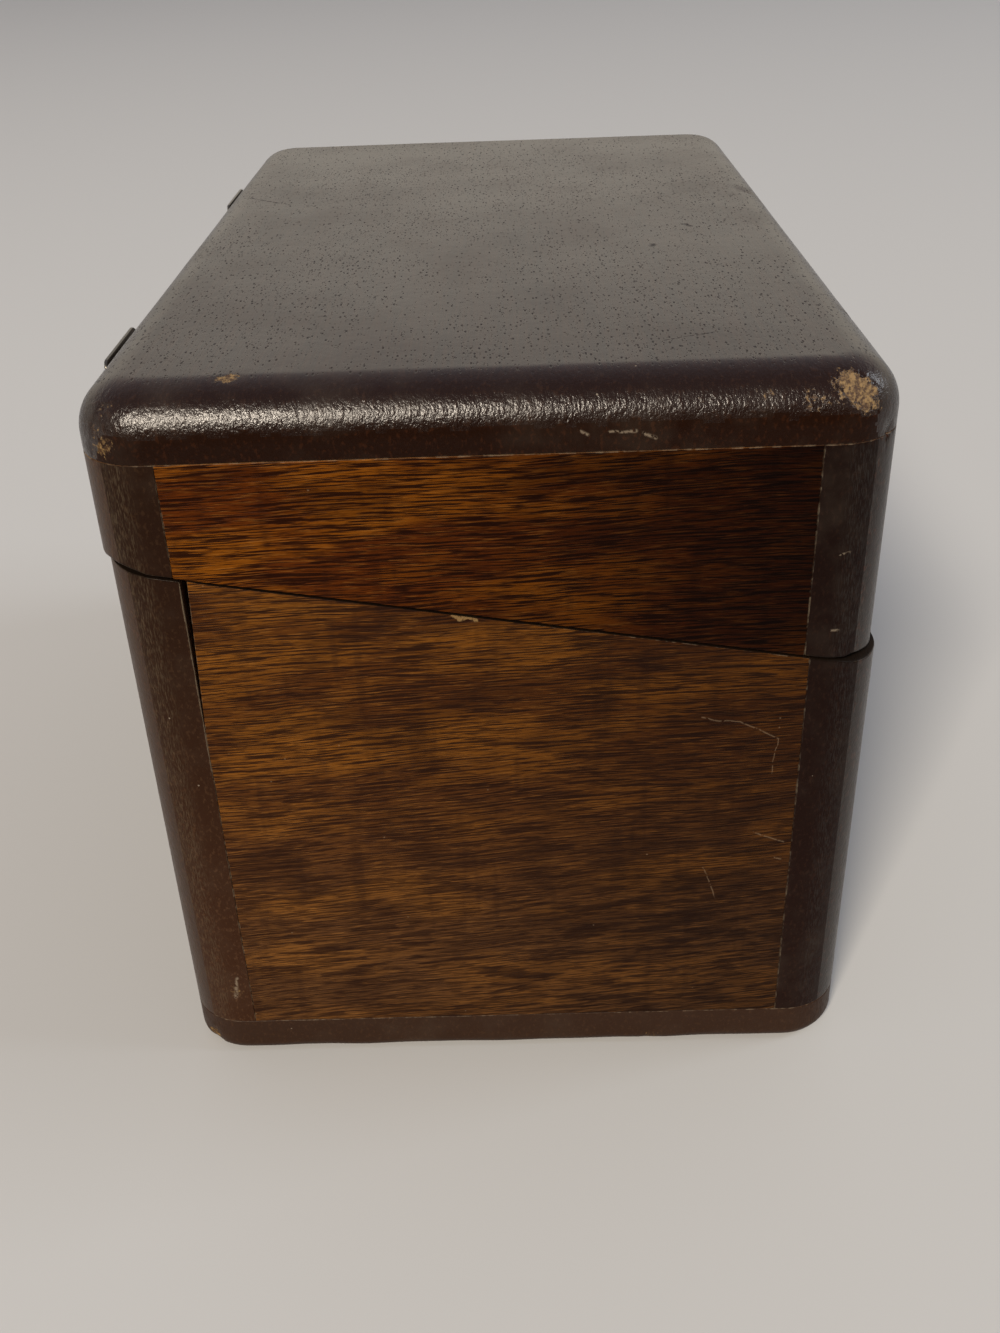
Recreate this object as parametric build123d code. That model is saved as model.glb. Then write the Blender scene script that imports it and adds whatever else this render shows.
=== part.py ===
from build123d import *
import math
import os

# A hinged recipe box in solid wood. All sizes are in millimetres.
# +X runs along the box to its right end, +Y to the hinged rear, +Z up.
# The origin is the centre of the base's underside.

# Driving dimensions of the box
BOX_LENGTH = 156.5
BOX_DEPTH = 97.0
BOX_HEIGHT = 103.3
CORNER_RADIUS = 8.4
TOP_ROUNDOVER = 6.4
BOTTOM_EDGE_CHAMFER = 1.5
WALL_THICKNESS = 10.0
END_THICKNESS = 10.0
TOP_THICKNESS = 8.5
BOTTOM_THICKNESS = 6.2

# The glued-up box is sawn open on a slope that rises towards the hinges
SPLIT_HEIGHT = 73.3
SPLIT_ANGLE = 9.8
SAW_GAP = 0.3
LID_SETBACK = 0.7

# Each end panel has a tongue on both upright edges, in dadoes in the long walls
TONGUE_THICKNESS = 4.0
TONGUE_LENGTH = 4.0
TONGUE_INSET = 3.0

# The glue has let go at the top of one joint, at the rear of the left end
OPEN_JOINT_WIDTH = 0.9
OPEN_JOINT_DEPTH = 22.0

# Butt hinges of rolled sheet, screwed to the rear face
HINGE_LENGTH = 16.6
HINGE_END_INSET = 24.4
LEAF_HEIGHT = 17.6
SHEET_THICKNESS = 0.8
LEAF_CORNER_RADIUS = 1.5
PIN_RADIUS = 1.0
PIN_CLEARANCE = 0.05
PIN_OVERHANG = 0.35
PIN_CHAMFER = 0.3
KNUCKLE_COUNT = 3
KNUCKLE_GAP = 0.15
NOTCH_GAP = 0.3
CURL_SEAM_START = 112.0
JOGGLE_START = 2.6
JOGGLE_END = 5.2
JOGGLE_BEND_RADIUS = 1.6

# Countersunk wood screws, two in each leaf, staggered about the leaf's middle
SCREW_OFFSET = 4.3
SCREW_NEAR = 6.2
SCREW_FAR = 10.8
SCREW_LENGTH = 8.0
SHANK_RADIUS = 1.0
HEAD_SEAT_GAP = 0.03
HEAD_SLOT_WIDTH = 0.5
HEAD_SLOT_DEPTH = 0.4
SCREW_POINT_LENGTH = 2.0

# Worked out from the dimensions above. A screw's head is as deep as the sheet it holds.
HEAD_RADIUS = SHANK_RADIUS + SHEET_THICKNESS
HALF_LENGTH = BOX_LENGTH / 2
HALF_DEPTH = BOX_DEPTH / 2
TOP_JOINT_Z = BOX_HEIGHT - TOP_THICKNESS
LID_REAR_Y = HALF_DEPTH + LID_SETBACK
LID_BORE_RADIUS = PIN_RADIUS + PIN_CLEARANCE
LID_KNUCKLE_RADIUS = LID_BORE_RADIUS + SHEET_THICKNESS
BASE_KNUCKLE_RADIUS = PIN_RADIUS + SHEET_THICKNESS
PIN_Y = LID_REAR_Y + LID_KNUCKLE_RADIUS
PIN_Z = SPLIT_HEIGHT + math.tan(math.radians(SPLIT_ANGLE)) * HALF_DEPTH
BASE_JOGGLE = PIN_Y - BASE_KNUCKLE_RADIUS - HALF_DEPTH
HINGE_X = HALF_LENGTH - HINGE_END_INSET - HINGE_LENGTH / 2
KNUCKLE_LENGTH = HINGE_LENGTH / KNUCKLE_COUNT


def split_z(y):
    """Height of the middle of the saw cut at a depth y."""
    return SPLIT_HEIGHT + math.tan(math.radians(SPLIT_ANGLE)) * y


def block(x_range, y_range, z_range):
    """A square-cut block of stock between the given limits."""
    size = [high - low for low, high in (x_range, y_range, z_range)]
    middle = [(high + low) / 2 for low, high in (x_range, y_range, z_range)]
    return Pos(*middle) * Box(*size)


def beyond_saw_cut(above):
    """A large wedge that fills the space above, or below, the slanted saw cut."""
    far = BOX_DEPTH
    edge_shift = SAW_GAP / 2 if above else -SAW_GAP / 2
    end_z = BOX_HEIGHT * 2 if above else -BOX_HEIGHT
    outline = Polyline(
        (-far, split_z(-far) + edge_shift),
        (far, split_z(far) + edge_shift),
        (far, end_z),
        (-far, end_z),
        close=True,
    )
    side = Plane.YZ * make_face(outline)
    return extrude(side, amount=BOX_LENGTH, both=True)


def rounded_body():
    """The outside of the glued-up box: upright corners rounded in plan."""
    plan = RectangleRounded(BOX_LENGTH, BOX_DEPTH, CORNER_RADIUS)
    return extrude(plan, amount=BOX_HEIGHT)


def lid_envelope():
    """The lid's outside, with its big roundover, above the saw cut."""
    body = rounded_body()
    body = fillet(body.edges().group_by(Axis.Z)[-1], TOP_ROUNDOVER)
    return (Pos(0, LID_SETBACK, 0) * body) & beyond_saw_cut(above=True)


def base_envelope():
    """The base's outside, with its lower edge chamfered, below the saw cut."""
    body = rounded_body()
    body = chamfer(body.edges().group_by(Axis.Z)[0], BOTTOM_EDGE_CHAMFER)
    return body & beyond_saw_cut(above=False)


def tongue_x_range(end):
    """Limits along X of the tongue on the end panel at end -1 or +1."""
    outer = end * (HALF_LENGTH - TONGUE_INSET)
    inner = outer - end * TONGUE_THICKNESS
    return min(outer, inner), max(outer, inner)


def long_wall(envelope, side, y_shift, z_range):
    """A full-length wall at side -1 (front) or +1 (rear), with a dado at each end."""
    inner_y = HALF_DEPTH - WALL_THICKNESS
    stock_y = sorted((side * inner_y + y_shift, side * BOX_DEPTH))
    wall = envelope & block((-BOX_LENGTH, BOX_LENGTH), stock_y, z_range)
    dado_y = sorted((side * inner_y + y_shift, side * (inner_y + TONGUE_LENGTH) + y_shift))
    for end in (-1, 1):
        wall -= block(tongue_x_range(end), dado_y, (0, BOX_HEIGHT))
    return wall


def end_panel(envelope, end, y_shift, z_range):
    """An end panel at end -1 or +1, between the long walls, with its two tongues."""
    panel_x = sorted((end * (HALF_LENGTH - END_THICKNESS), end * BOX_LENGTH))
    inner_y = HALF_DEPTH - WALL_THICKNESS
    tongue_y = inner_y + TONGUE_LENGTH
    panel = block(panel_x, (-inner_y + y_shift, inner_y + y_shift), z_range)
    tongues = block(tongue_x_range(end), (-tongue_y + y_shift, tongue_y + y_shift), z_range)
    return envelope & (panel + tongues)


def open_joint_wedge(rear_y):
    """The tapering gap at a joint that has opened from the top, ahead of rear_y."""
    top_z = split_z(rear_y)
    outline = Polyline(
        (rear_y - OPEN_JOINT_WIDTH, top_z),
        (rear_y, top_z - OPEN_JOINT_DEPTH),
        (rear_y + OPEN_JOINT_WIDTH, top_z),
        close=True,
    )
    side = Plane.YZ * make_face(outline)
    return extrude(side, amount=-BOX_LENGTH)


def loosened_end_panel(panel):
    """The base's left end panel, drawn away from the rear wall at the top."""
    shoulder_y = HALF_DEPTH - WALL_THICKNESS
    tongue_tip_y = shoulder_y + TONGUE_LENGTH
    shoulder_gap = open_joint_wedge(shoulder_y)
    tongue_low, tongue_high = tongue_x_range(-1)
    tongue_zone = block((tongue_low, tongue_high), (0, BOX_DEPTH), (0, BOX_HEIGHT))
    tip_gap = open_joint_wedge(tongue_tip_y) & tongue_zone
    return panel - (shoulder_gap - tongue_zone) - tip_gap


def screw_places(direction):
    """Screw centres in one leaf, as (x from the hinge's middle, z from the pin)."""
    return [
        (-SCREW_OFFSET, direction * SCREW_NEAR),
        (SCREW_OFFSET, direction * SCREW_FAR),
    ]


def screw_axis(hinge_x, place, face_y):
    """A screw's own frame: on the leaf's outer face, with +Z into the wood."""
    x, z = place
    return Plane(
        origin=(hinge_x + x, face_y + SHEET_THICKNESS, PIN_Z + z),
        x_dir=(1, 0, 0),
        z_dir=(0, -1, 0),
    )


def countersunk_shape(gap=0.0):
    """A countersunk screw's outside, grown all round by a gap. It points along +Z."""
    outline = Polyline(
        (0, 0),
        (HEAD_RADIUS + gap, 0),
        (SHANK_RADIUS + gap, SHEET_THICKNESS),
        (SHANK_RADIUS + gap, SCREW_LENGTH - SCREW_POINT_LENGTH),
        (0, SCREW_LENGTH),
        close=True,
    )
    return revolve(Plane.XZ * make_face(outline), Axis.Z)


def screw():
    """One slotted wood screw."""
    slot = Box(2.5 * HEAD_RADIUS, HEAD_SLOT_WIDTH, 2 * HEAD_SLOT_DEPTH)
    return countersunk_shape() - slot


def pilot_hole():
    """The blind hole that takes a screw's shank, from the back of the sheet."""
    depth = SCREW_LENGTH - SHEET_THICKNESS
    return Pos(0, 0, SHEET_THICKNESS + depth / 2) * Cylinder(SHANK_RADIUS, depth)


def placed_at_screws(shape, direction, face_y, hinge_x):
    """Copies of a shape at the screws of one leaf: direction +1 for lid, -1 for base."""
    return [screw_axis(hinge_x, place, face_y) * shape for place in screw_places(direction)]


def with_pilot_holes(wall, direction, face_y):
    """A rear wall bored for the screws of both hinges."""
    for hinge_x in (-HINGE_X, HINGE_X):
        for hole in placed_at_screws(pilot_hole(), direction, face_y, hinge_x):
            wall -= hole
    return wall


def leaf_plate_outline(outer_radius, joggle):
    """The flat of a leaf in section, up from the pin, with its joggle towards the wood."""
    near_y = -outer_radius
    far_y = near_y - joggle
    if joggle == 0:
        return make_face(
            Polyline(
                (near_y, 0),
                (near_y + SHEET_THICKNESS, 0),
                (near_y + SHEET_THICKNESS, LEAF_HEIGHT),
                (near_y, LEAF_HEIGHT),
                close=True,
            )
        )
    plate = make_face(
        Polyline(
            (near_y, 0),
            (near_y + SHEET_THICKNESS, 0),
            (near_y + SHEET_THICKNESS, JOGGLE_START),
            (far_y + SHEET_THICKNESS, JOGGLE_END),
            (far_y + SHEET_THICKNESS, LEAF_HEIGHT),
            (far_y, LEAF_HEIGHT),
            (far_y, JOGGLE_END),
            (near_y, JOGGLE_START),
            close=True,
        )
    )
    bends = [v for v in plate.vertices() if JOGGLE_START - 1 < v.Y < JOGGLE_END + 1]
    return fillet(bends, JOGGLE_BEND_RADIUS)


def curl_outline(bore_radius):
    """The rolled knuckle in section: sheet curled round the pin, with its seam open."""
    outer_radius = bore_radius + SHEET_THICKNESS
    ring = Circle(outer_radius) - Circle(bore_radius)
    reach = 2 * outer_radius
    seam_start = math.radians(CURL_SEAM_START)
    seam = make_face(
        Polyline(
            (0, 0),
            (reach * math.cos(seam_start), reach * math.sin(seam_start)),
            (-reach, reach * math.sin(seam_start)),
            (-reach, 0),
            close=True,
        )
    )
    return ring - seam


def knuckle_slots(odd, outer_radius):
    """Room for the other leaf's knuckles, which are the odd ones or the even ones."""
    slots = []
    for index in range(KNUCKLE_COUNT):
        if index % 2 == int(odd):
            low = -HINGE_LENGTH / 2 + index * KNUCKLE_LENGTH - KNUCKLE_GAP
            high = low + KNUCKLE_LENGTH + 2 * KNUCKLE_GAP
            reach = outer_radius + NOTCH_GAP
            slots.append(block((low, high), (-2 * reach, 2 * reach), (-2 * reach, reach)))
    return slots


def leaf(bore_radius, joggle, holds_middle_knuckle):
    """A hinge leaf that stands up from a pin on the X axis, with the wood towards -Y."""
    outer_radius = bore_radius + SHEET_THICKNESS
    section = leaf_plate_outline(outer_radius, joggle) + curl_outline(bore_radius)
    body = extrude(Plane.YZ * section, amount=HINGE_LENGTH / 2, both=True)
    corners = [e for e in body.edges().filter_by(Axis.Y) if e.center().Z > LEAF_HEIGHT - 0.1]
    body = fillet(corners, LEAF_CORNER_RADIUS)
    for slot in knuckle_slots(odd=not holds_middle_knuckle, outer_radius=LID_KNUCKLE_RADIUS):
        body -= slot
    return body


def lid_leaf(hinge_x):
    """The leaf screwed to the lid: it stands up and holds the middle knuckle."""
    body = Pos(hinge_x, PIN_Y, PIN_Z) * leaf(LID_BORE_RADIUS, 0, holds_middle_knuckle=True)
    for hole in placed_at_screws(countersunk_shape(HEAD_SEAT_GAP), 1, LID_REAR_Y, hinge_x):
        body -= hole
    return body


def base_leaf(hinge_x):
    """The leaf screwed to the base: it hangs down and holds the outer knuckles."""
    upright = leaf(PIN_RADIUS, BASE_JOGGLE, holds_middle_knuckle=False)
    hanging = mirror(upright, about=Plane.XY)
    body = Pos(hinge_x, PIN_Y, PIN_Z) * hanging
    for hole in placed_at_screws(countersunk_shape(HEAD_SEAT_GAP), -1, HALF_DEPTH, hinge_x):
        body -= hole
    return body


def hinge_pin(hinge_x):
    """The pin, with its two ends chamfered where they stand out of the knuckles."""
    length = HINGE_LENGTH + 2 * PIN_OVERHANG
    pin = Cylinder(PIN_RADIUS, length)
    ends = pin.edges().filter_by(GeomType.CIRCLE)
    pin = chamfer(ends, PIN_CHAMFER)
    return Pos(hinge_x, PIN_Y, PIN_Z) * Rot(0, 90, 0) * pin


def lid_boards():
    """The five boards of the lid, by name."""
    envelope = lid_envelope()
    below_top = (0, TOP_JOINT_Z)
    rear = long_wall(envelope, 1, LID_SETBACK, below_top)
    return {
        "lid_top_board": envelope & block(
            (-BOX_LENGTH, BOX_LENGTH),
            (-BOX_DEPTH, BOX_DEPTH),
            (TOP_JOINT_Z, BOX_HEIGHT),
        ),
        "lid_front_rail": long_wall(envelope, -1, LID_SETBACK, below_top),
        "lid_rear_rail": with_pilot_holes(rear, 1, LID_REAR_Y),
        "lid_left_end_panel": end_panel(envelope, -1, LID_SETBACK, below_top),
        "lid_right_end_panel": end_panel(envelope, 1, LID_SETBACK, below_top),
    }


def base_boards():
    """The five boards of the base, by name."""
    envelope = base_envelope()
    above_bottom = (BOTTOM_THICKNESS, BOX_HEIGHT)
    rear = long_wall(envelope, 1, 0, above_bottom)
    left_end = end_panel(envelope, -1, 0, above_bottom)
    return {
        "base_bottom_board": envelope & block(
            (-BOX_LENGTH, BOX_LENGTH),
            (-BOX_DEPTH, BOX_DEPTH),
            (0, BOTTOM_THICKNESS),
        ),
        "base_front_panel": long_wall(envelope, -1, 0, above_bottom),
        "base_rear_panel": with_pilot_holes(rear, -1, HALF_DEPTH),
        "base_left_end_panel": loosened_end_panel(left_end),
        "base_right_end_panel": end_panel(envelope, 1, 0, above_bottom),
    }


def hinge_pieces():
    """Both hinges, left and right, each with its leaves, pin and screws, by name."""
    pieces = {}
    for name, hinge_x in (("left", -HINGE_X), ("right", HINGE_X)):
        lid_screws = placed_at_screws(screw(), 1, LID_REAR_Y, hinge_x)
        base_screws = placed_at_screws(screw(), -1, HALF_DEPTH, hinge_x)
        pieces[f"{name}_hinge_lid_leaf"] = lid_leaf(hinge_x)
        pieces[f"{name}_hinge_base_leaf"] = base_leaf(hinge_x)
        pieces[f"{name}_hinge_pin"] = hinge_pin(hinge_x)
        pieces[f"{name}_hinge_lid_screws"] = Compound(children=lid_screws)
        pieces[f"{name}_hinge_base_screws"] = Compound(children=base_screws)
    return pieces


def main():
    """Builds every piece and writes each to its own file."""
    os.makedirs("parts", exist_ok=True)
    pieces = {**lid_boards(), **base_boards(), **hinge_pieces()}
    for name, piece in pieces.items():
        export_step(piece, f"parts/{name}.step")
    print(f"pin at y {PIN_Y:.2f}, z {PIN_Z:.2f}; hinges at x {HINGE_X:.2f}; {len(pieces)} pieces")


main()
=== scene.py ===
import logging
import math
from dataclasses import dataclass
from enum import Enum, IntEnum
from typing import Callable, ClassVar, Sequence

import bmesh
import bpy
import numpy as np
from mathutils import Matrix, Vector


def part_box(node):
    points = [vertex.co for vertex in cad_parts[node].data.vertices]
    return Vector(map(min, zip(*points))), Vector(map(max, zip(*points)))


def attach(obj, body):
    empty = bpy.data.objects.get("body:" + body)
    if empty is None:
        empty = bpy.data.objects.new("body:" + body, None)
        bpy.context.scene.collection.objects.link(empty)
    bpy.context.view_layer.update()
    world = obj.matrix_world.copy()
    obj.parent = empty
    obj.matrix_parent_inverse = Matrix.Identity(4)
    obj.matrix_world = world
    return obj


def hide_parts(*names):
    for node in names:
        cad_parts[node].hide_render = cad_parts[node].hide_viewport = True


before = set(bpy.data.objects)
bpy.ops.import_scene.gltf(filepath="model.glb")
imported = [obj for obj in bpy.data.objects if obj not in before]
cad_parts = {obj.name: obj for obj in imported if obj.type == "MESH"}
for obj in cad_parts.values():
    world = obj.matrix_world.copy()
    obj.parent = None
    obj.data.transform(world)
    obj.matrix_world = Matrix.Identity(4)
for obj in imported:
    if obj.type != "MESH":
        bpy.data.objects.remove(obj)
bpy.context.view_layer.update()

log = logging.getLogger("recipe_box")

# Lengths are in millimetres until a mesh is written, because the frame is in metres.
MM = 0.001

Array = np.ndarray
Colour = tuple[float, float, float, float]
Place = tuple[float, float, float]
Rectangle = tuple[float, float, float, float]
Face = Callable[[Array], tuple[Array, Array]]
Height = Callable[[Array], Array]
Material = bpy.types.Material
Tree = bpy.types.NodeTree


# ---------------------------------------------------------------- numbers and sizes


def linear(*display: float) -> Colour:
    """Turns a display colour, with parts from 0 to 255, into the linear one that a shader takes."""
    shares = (value / 255 for value in display)
    return (*(v / 12.92 if v <= 0.04045 else ((v + 0.055) / 1.055) ** 2.4 for v in shares), 1.0)


def node_box(node: str) -> tuple[Array, Array]:
    """Reads the lowest and highest corner of a CAD node, in millimetres."""
    low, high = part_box(node)
    return np.array(low) / MM, np.array(high) / MM


def wobble(points: Array, size: float, seed: int, waves: int = 9) -> Array:
    """Smooth noise made of a few slanted waves.

    Args:
        points: Positions, one row each.
        size: Typical size of a bump.
        seed: Choice of the waves.
        waves: Number of the waves.

    Returns:
        One value for each point, mostly between -1 and 1.
    """
    draw = np.random.default_rng(seed)
    total = np.zeros(len(points))
    for _ in range(waves):
        heading = draw.normal(size=3)
        heading *= draw.uniform(0.6, 1.5) * math.pi / size / np.linalg.norm(heading)
        total += np.sin(points @ heading + draw.uniform(0, 2 * math.pi))
    return total / math.sqrt(waves)


def fade(values: Array, low: float, high: float) -> Array:
    """Goes smoothly from 0, where the values are low, to 1, where they are high."""
    share = np.clip((values - low) / (high - low), 0, 1)
    return share * share * (3 - 2 * share)


def plane(point: Place, normal: Place) -> Face:
    """Makes a flat face through a point, as a function that measures points against it."""
    direction = np.array(normal, dtype=float) / np.linalg.norm(normal)
    return lambda points: ((points - point) @ direction, np.broadcast_to(direction, points.shape))


def grid_lines(
    low: float, high: float, spacing: float, breaks: Sequence[float] = (), rounded: float = 0.0
) -> Array:
    """Spaces the lines of a grid so that they crowd at its ends.

    Args:
        low: First line.
        high: Last line.
        spacing: Largest step.
        breaks: Places that need a line, and one on either side.
        rounded: Length at each end that curves.

    Returns:
        The places of the lines.
    """
    edge_places = (0.05, 0.11, 0.18, 0.26, 0.36, 0.55, 0.85, 1.3)
    break_margin, rounded_spacing, least_step = 0.3, 0.5, 1e-4
    marks = {low, high, *breaks}
    for place in (*edge_places, rounded):
        marks |= {low + place, high - place}
    for place in breaks:
        marks |= {place - break_margin, place + break_margin}
    ordered = sorted(mark for mark in marks if low <= mark <= high)
    lines = [ordered[0]]
    for start, end in zip(ordered, ordered[1:]):
        if end - start < least_step:
            continue
        middle = (start + end) / 2
        curved = middle < low + rounded or middle > high - rounded
        step = min(spacing, rounded_spacing) if curved else spacing
        count = max(1, math.ceil((end - start) / step - 1e-6))
        lines.extend(np.linspace(start, end, count + 1)[1:])
    return np.array(lines)


def dress(piece: bpy.types.Object, body: str, node: str) -> None:
    """Puts a piece on a body in place of a CAD node.

    Args:
        piece: The piece.
        body: Name of the body.
        node: Name of the node.
    """
    bpy.context.scene.collection.objects.link(piece)
    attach(piece, body)
    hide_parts(node)
    log.info("%s: %d faces on %s", piece.name, len(piece.data.polygons), body)


# ---------------------------------------------------------------- worn wooden boards


@dataclass(frozen=True)
class Outline:
    """Rounded rectangle that the boards of one half share in plan.

    Attributes:
        half_length: Half of the size along X.
        low_y: Front face.
        high_y: Rear face.
        corner_radius: Radius of the upright corners.
        core_radius: Radius inside which a corner's grid stays square.
    """

    half_length: float
    low_y: float
    high_y: float
    corner_radius: float = 8.4
    core_radius: float = 6.0

    def _corner(self, points: Array) -> tuple[Array, Array]:
        """Measures points from the nearest corner's centre.

        Args:
            points: Positions, one row each.

        Returns:
            Offsets in X and Y, positive outwards, and the signs of the corner.
        """
        middle = np.array([0.0, (self.low_y + self.high_y) / 2])
        half = np.array([self.half_length, (self.high_y - self.low_y) / 2])
        from_middle = points[:, :2] - middle
        return np.abs(from_middle) - (half - self.corner_radius), np.where(from_middle < 0, -1, 1)

    def round_plan(self, points: Array) -> Array:
        """Draws the corners of a square grid in to the round ones.

        Args:
            points: Grid positions, one row each.

        Returns:
            The moved positions.
        """
        offset, sign = self._corner(points)
        reach = np.hypot(offset[:, 0], offset[:, 1])
        moved = (offset > 0).all(axis=1) & (reach > self.core_radius)
        far = offset[moved]
        rho = reach[moved]
        side = self.corner_radius * rho / far.max(axis=1)
        squeeze = (self.corner_radius - self.core_radius) / (side - self.core_radius)
        new = self.core_radius + (rho - self.core_radius) * squeeze
        result = points.copy()
        result[moved, :2] += sign[moved] * far * (new / rho - 1)[:, None]
        return result

    def face(self, points: Array) -> tuple[Array, Array]:
        """Measures points against the upright outside.

        Args:
            points: Positions, one row each.

        Returns:
            Distances, negative inside, and the outward directions.
        """
        offset, sign = self._corner(points)
        reach = np.hypot(*np.maximum(offset, 0).T)
        distance = reach + np.minimum(offset.max(axis=1), 0) - self.corner_radius
        in_corner = (offset > 0).all(axis=1)
        along_x = offset[:, 0] > offset[:, 1]
        normal = np.zeros((len(points), 3))
        normal[:, 0] = along_x
        normal[:, 1] = ~along_x
        normal[in_corner, :2] = offset[in_corner] / np.maximum(reach[in_corner], 1e-9)[:, None]
        normal[:, :2] *= sign
        return distance, normal


@dataclass(frozen=True)
class Dent:
    """A knock in the wood.

    Attributes:
        place: Its middle.
        reach: How far it goes from there.
        push: The shift of its middle, into the wood.
        bare: How much of the stain has gone, from 0 to 1.
        seed: Choice of its ragged outline.
    """

    place: Place
    reach: float
    push: Place
    bare: float
    seed: int

    def press(self, points: Array, bare: Array) -> None:
        """Presses the dent into points and marks the bare wood.

        Args:
            points: Positions, changed in place.
            bare: Bareness of each point, changed in place.
        """
        offset = points - np.array(self.place)
        ragged = 1 + 0.3 * wobble(points, self.reach * 0.5, self.seed)
        depth = fade(1 - np.linalg.norm(offset, axis=1) / (self.reach * ragged), 0.0, 0.8)
        points += depth[:, None] * np.array(self.push)
        np.maximum(bare, self.bare * depth, out=bare)


class Side(IntEnum):
    """The places on a board that get finishes of their own, in the order of its materials."""

    OUTSIDE = 0
    INSIDE = 1
    SAWN = 2
    END = 3


class Kind(Enum):
    """What a board does in its half."""

    PLATE = "top or bottom"
    LONG_WALL = "front or rear"
    END_PANEL = "left or right"


@dataclass
class Board:
    """One board, as a dense mesh with its edges eased and its knocks.

    Attributes:
        node: The CAD node that it stands for.
        kind: What it does in its half.
        outline: Plan of the half that it belongs to.
        lines: Grid lines along X, along Y and up the board, for its nominal height.
        low: Lower face as a height for each Y.
        high: Upper face as a height for each Y.
        solids: Plan rectangles of wood: low x, high x, low y, high y.
        voids: Plan rectangles that are cut away.
    """

    SHARP_ANGLE: ClassVar[float] = math.radians(38)

    node: str
    kind: Kind
    outline: Outline
    lines: tuple[Array, Array, Array]
    low: Height
    high: Height
    solids: Sequence[Rectangle]
    voids: Sequence[Rectangle] = ()

    def __post_init__(self) -> None:
        """Lays out the grid."""
        self._mark_cells()
        self._collect_quads()
        self._place_points()

    def _mark_cells(self) -> None:
        """Marks the plan cells that are wood."""
        middles = ((lines[1:] + lines[:-1]) / 2 for lines in self.lines[:2])
        across, deep = np.meshgrid(*middles, indexing="ij")
        self.wood = np.zeros(across.shape, dtype=bool)
        for rectangles, value in ((self.solids, True), (self.voids, False)):
            for low_x, high_x, low_y, high_y in rectangles:
                inside = (across > low_x) & (across < high_x) & (deep > low_y) & (deep < high_y)
                self.wood[inside] = value

    def _collect_quads(self) -> None:
        """Collects the faces between wood and air."""
        count = tuple(len(lines) for lines in self.lines)
        index = np.arange(np.prod(count)).reshape(count)
        padded = np.pad(self.wood, 1).astype(int)
        found: list[Array] = []
        flat: list[Array] = []

        def keep(corners: Sequence[Array], turned: bool, side: Side) -> None:
            """Keeps quads.

            Args:
                corners: Their corners, an array for each of the four.
                turned: Whether the corners are turned round.
                side: Finish of the quads.
            """
            quads = np.stack([corner.ravel() for corner in corners], axis=1)
            found.append(quads[:, ::-1] if turned else quads)
            flat.append(np.full(len(quads), side))

        for sign in (1, -1):
            for i_step, j_step, change in (
                (0, 1, padded[1:, 1:-1] - padded[:-1, 1:-1]),
                (1, 0, padded[1:-1, 1:] - padded[1:-1, :-1]),
            ):
                i, j = np.nonzero(change == sign)
                here, there = index[i, j], index[i + i_step, j + j_step]
                corners = here[:, :-1], there[:, :-1], there[:, 1:], here[:, 1:]
                keep(corners, (sign > 0) == (j_step > 0), Side.INSIDE)
        i, j = np.nonzero(self.wood)
        for level, turned in ((0, False), (-1, True)):
            floor = index[:, :, level]
            corners = floor[i, j], floor[i, j + 1], floor[i + 1, j + 1], floor[i + 1, j]
            keep(corners, turned, Side.SAWN)
        corners = np.concatenate(found)
        used, inverse = np.unique(corners, return_inverse=True)
        self.quads = inverse.reshape(corners.shape)
        self.sides = np.concatenate(flat)
        self.grid = np.stack(np.unravel_index(used, count), axis=1)

    def _place_points(self) -> None:
        """Puts the grid in the board's rounded plan, between its lower and upper face."""
        across, deep, lines = self.lines
        share = (lines[self.grid[:, 2]] - lines[0]) / (lines[-1] - lines[0])
        flat = np.zeros_like(share)
        square = np.stack([across[self.grid[:, 0]], deep[self.grid[:, 1]], flat], axis=1)
        self.points = self.outline.round_plan(square)
        low, high = self.low(self.points[:, 1]), self.high(self.points[:, 1])
        self.points[:, 2] = low + share * (high - low)
        distance, _ = self.outline.face(self.points)
        outer = (distance[self.quads] > -0.05).all(axis=1) & (self.sides == Side.INSIDE)
        self.sides[outer] = Side.OUTSIDE
        self.marks = {name: np.zeros(len(self.points)) for name in ("edge", "joint", "bare")}

    def ease(
        self,
        first: Face,
        second: Face,
        radius: float,
        mark: str | None = "edge",
        width: float = 0.9,
        unevenness: float = 0.35,
        seed: int = 3,
        inward: float | None = None,
    ) -> None:
        """Rounds the edge where two faces meet, and marks the points near it.

        Args:
            first: One face.
            second: The other face.
            radius: Radius of the edge.
            mark: Name of the mark, or None for no mark.
            width: How far the mark reaches from the edge.
            unevenness: How much the radius varies along the edge.
            seed: Choice of that variation.
            inward: How far the mark reaches across the second face, or None for just as far.
        """
        slack = 0.02
        first_distance, first_normal = first(self.points)
        second_distance, second_normal = second(self.points)
        gap = np.hypot(first_distance / (inward or width), second_distance / width)
        touching = (first_distance < slack) & (second_distance < slack)
        if mark is not None:
            closeness = np.where(touching, np.clip(1 - gap, 0, 1), 0)
            np.maximum(self.marks[mark], closeness, out=self.marks[mark])
        radii = radius * (1 + unevenness * np.clip(wobble(self.points, 7, seed), -1, 1))
        across = np.minimum(first_distance + radii, radii)
        up = np.minimum(second_distance + radii, radii)
        near = (across > 0) & (up > 0) & touching
        shrink = np.maximum(across, up)[near] / np.hypot(across, up)[near] - 1
        self.points[near] += (
            first_normal[near] * (across[near] * shrink)[:, None]
            + second_normal[near] * (up[near] * shrink)[:, None]
        )

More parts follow.
